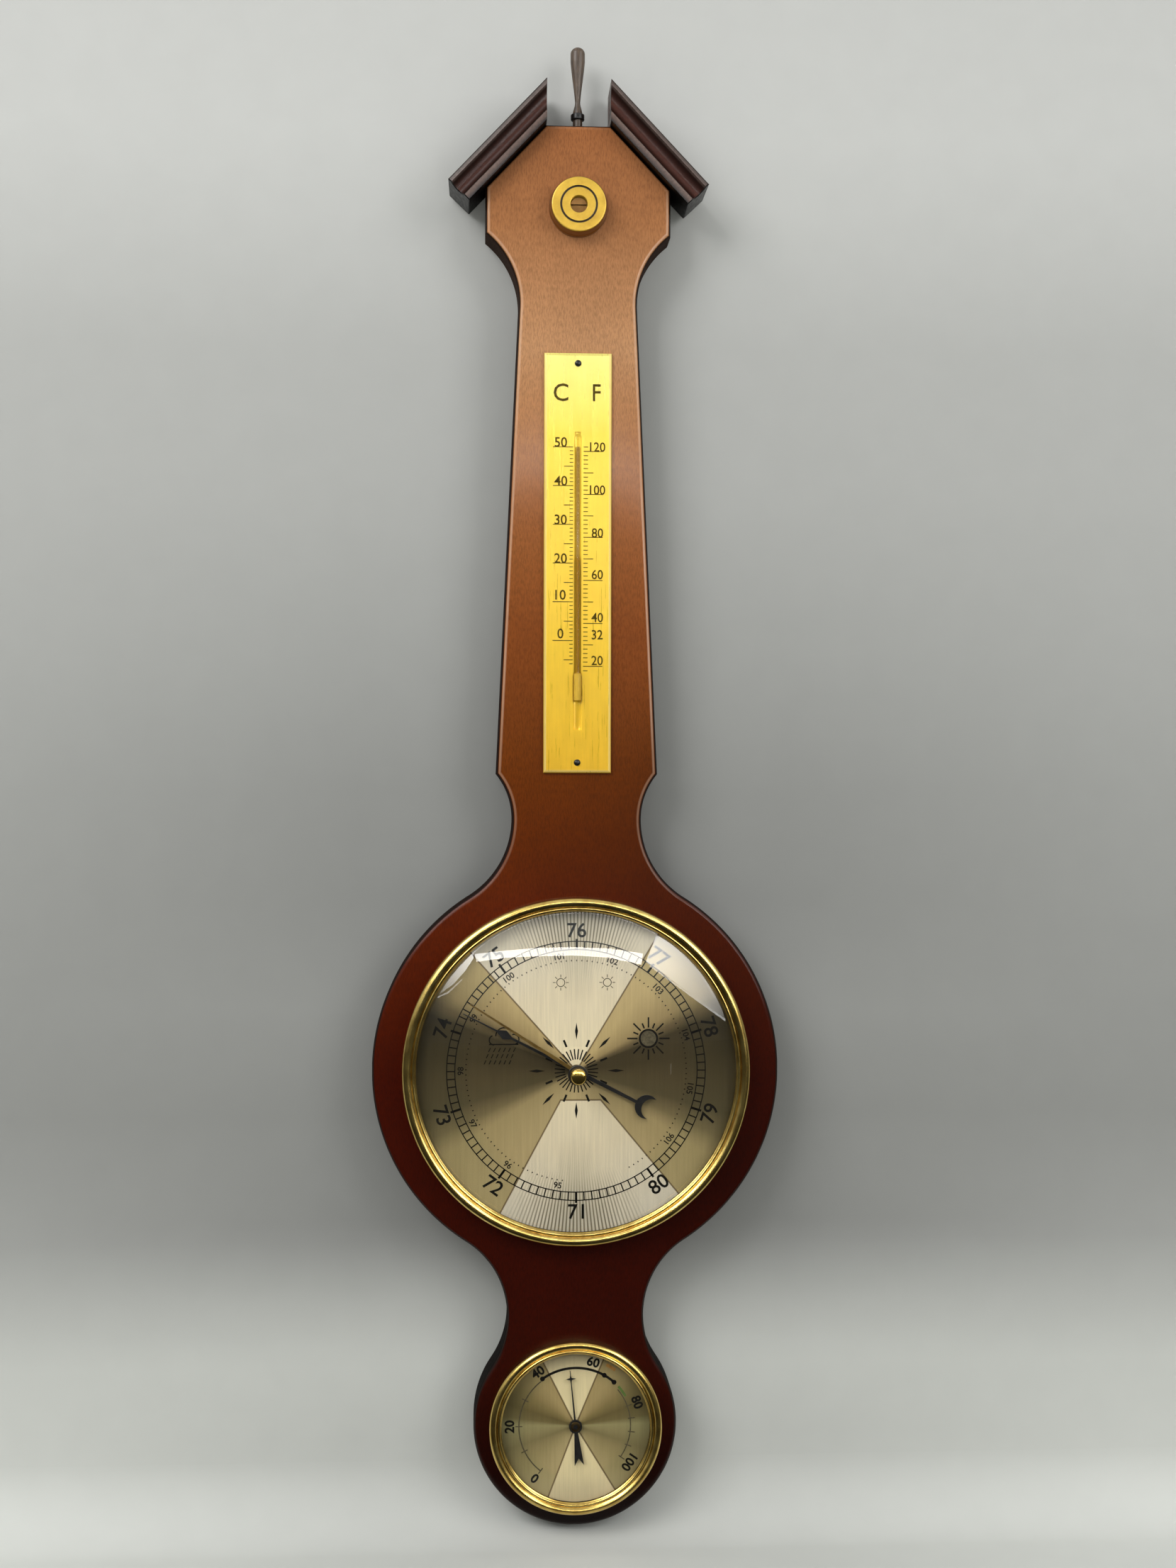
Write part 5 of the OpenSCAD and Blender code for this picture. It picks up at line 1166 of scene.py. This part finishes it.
def mirrored_in_dome(pixels, distance):
    """Points that the domed glass mirrors at these pixels: each view ray meets the glass sphere, turns
    about the sphere's normal there, and goes on for the distance."""
    radius = (DOME_FOOT_R ** 2 + DOME_H ** 2) / (2 * DOME_H)
    centre = stations((0.0, MAIN_UP, RIM_TOP + DOME_H - radius))
    eye, way = view_rays(pixels)
    along = ((centre - eye) * way).sum(-1, keepdims=True)
    short = ((centre - eye - along * way) ** 2).sum(-1, keepdims=True)
    hit = eye + way * (along - np.sqrt((radius * MM) ** 2 - short))
    normal = (hit - centre) / (radius * MM)
    return hit + (way - 2 * (way * normal).sum(-1, keepdims=True) * normal) * distance


def reflector(name, upper, lower, bright, dim):
    """A glowing card that shows in gloss alone, between two edges given by the pixels where the dome mirrors
    them. It goes from bright at its first end to dim at its last."""
    steps, distance = 25, 1.25
    t = np.linspace(0, 1, steps)
    edges = [np.stack([np.interp(t, np.linspace(0, 1, len(edge)), np.array(edge, float)[:, axis])
                       for axis in (0, 1)], -1) for edge in (upper, lower)]
    grid = mirrored_in_dome(np.stack(edges), distance)
    mesh = bpy.data.meshes.new(name)
    mesh.from_pydata(grid.reshape(-1, 3), [], grid_faces(2, steps, False, False).tolist())
    glow = Finish(name, {"Emission Color": (1.0, 1.0, 0.98, 1.0), "Base Color": (0.0, 0.0, 0.0, 1.0)})
    first, last = grid[:, 0].mean(0), grid[:, -1].mean(0)
    span = last - first
    place = glow.node("TexCoord", {}).outputs["Object"]
    offset = glow.node("VectorMath", {0: place, 1: tuple(first)}, operation="SUBTRACT").outputs[0]
    ahead = tuple(span / (span @ span))
    part = glow.node("VectorMath", {0: offset, 1: ahead}, operation="DOT_PRODUCT")
    glow.set("Emission Strength", glow.span(part.outputs["Value"], 0, 1, bright, dim))
    mesh.materials.append(glow.material)
    card = new_object(name, mesh)
    card.visible_camera = False
    card.visible_diffuse = False
    card.visible_shadow = False
    card.visible_transmission = False


def build_reflectors():
    """The bright shapes of the room that the domed glass mirrors."""
    reflector("high_window", [(670, 1346), (712, 1341), (760, 1337), (810, 1336), (860, 1338), (907, 1345)],
              [(672, 1357), (714, 1351), (760, 1349), (810, 1348), (860, 1351), (905, 1361)], 17.0, 17.0)
    reflector("right_window", [(927, 1316), (962, 1328), (1000, 1352), (1024, 1385), (1040, 1420)],
              [(911, 1357), (935, 1373), (966, 1396), (996, 1418), (1034, 1444)], 16.0, 2.5)
    reflector("left_window", [(667, 1343), (648, 1350), (630, 1366), (612, 1392)],
              [(668, 1352), (656, 1370), (640, 1388), (610, 1410)], 18.0, 2.0)
    reflector("window_edge", [(945.5, 1500), (946, 1576)], [(947, 1500), (947.5, 1576)], 1.2, 1.2)
    reflector("right_sill", [(918, 1361), (966, 1396.5), (1030, 1442)],
              [(916, 1363), (965, 1399), (1029, 1445)], 9.0, 9.0)
    reflector("left_sill", [(651, 1381), (632, 1399), (612, 1408)],
              [(652, 1383), (633, 1401), (613, 1410)], 6.0, 6.0)


def lamp(name, place, target, width, height, power, spread=math.pi):
    """A soft rectangular lamp aimed at a point."""
    light = bpy.data.lights.new(name, "AREA")
    light.shape = "RECTANGLE"
    light.size = width
    light.size_y = height
    light.energy = power
    light.spread = spread
    holder = new_object(name, light)
    holder.location = place
    holder.rotation_euler = (Vector(target) - Vector(place)).to_track_quat("-Z", "Y").to_euler()


def build_lights():
    """A broad key from the upper left, a weaker lamp from the right, one behind the paper for the back, and
    a room that is pale above and dark below."""
    lamp("key", (-1.0, -1.0, 0.75), (0, 0, -0.25), 0.9, 0.9, 15.6)
    lamp("fill", (1.1, -1.0, 0.35), (0, 0, -0.3), 0.7, 1.0, 7.0)
    lamp("rear", (-0.9, 3.0, 0.9), (0, 0, -0.25), 0.9, 0.9, 17.0, math.radians(60))
    world = bpy.data.worlds.new("room")
    bpy.context.scene.world = world
    world.use_nodes = True
    tree = world.node_tree
    way = add_node(tree, "TexCoord", {}).outputs["Generated"]
    up = add_node(tree, "SeparateXYZ", {0: way}).outputs["Z"]
    pale = {"Value": up, "From Min": 0.02, "From Max": 0.4, "To Min": 0.05, "To Max": 0.66}
    height = add_node(tree, "MapRange", pale).outputs[0]
    seen = add_node(tree, "LightPath", {}).outputs["Is Camera Ray"]
    shown = add_node(tree, "Mix", {0: seen, 2: height, 3: 0.62}).outputs[0]
    feed(tree, tree.nodes["Background"].inputs["Strength"], shown)
    feed(tree, tree.nodes["Background"].inputs["Color"], (0.97, 1.0, 0.99, 1.0))


build_backdrop()
build_camera()
build_lights()
build_reflectors()
bpy.context.scene.view_settings.view_transform = "Standard"
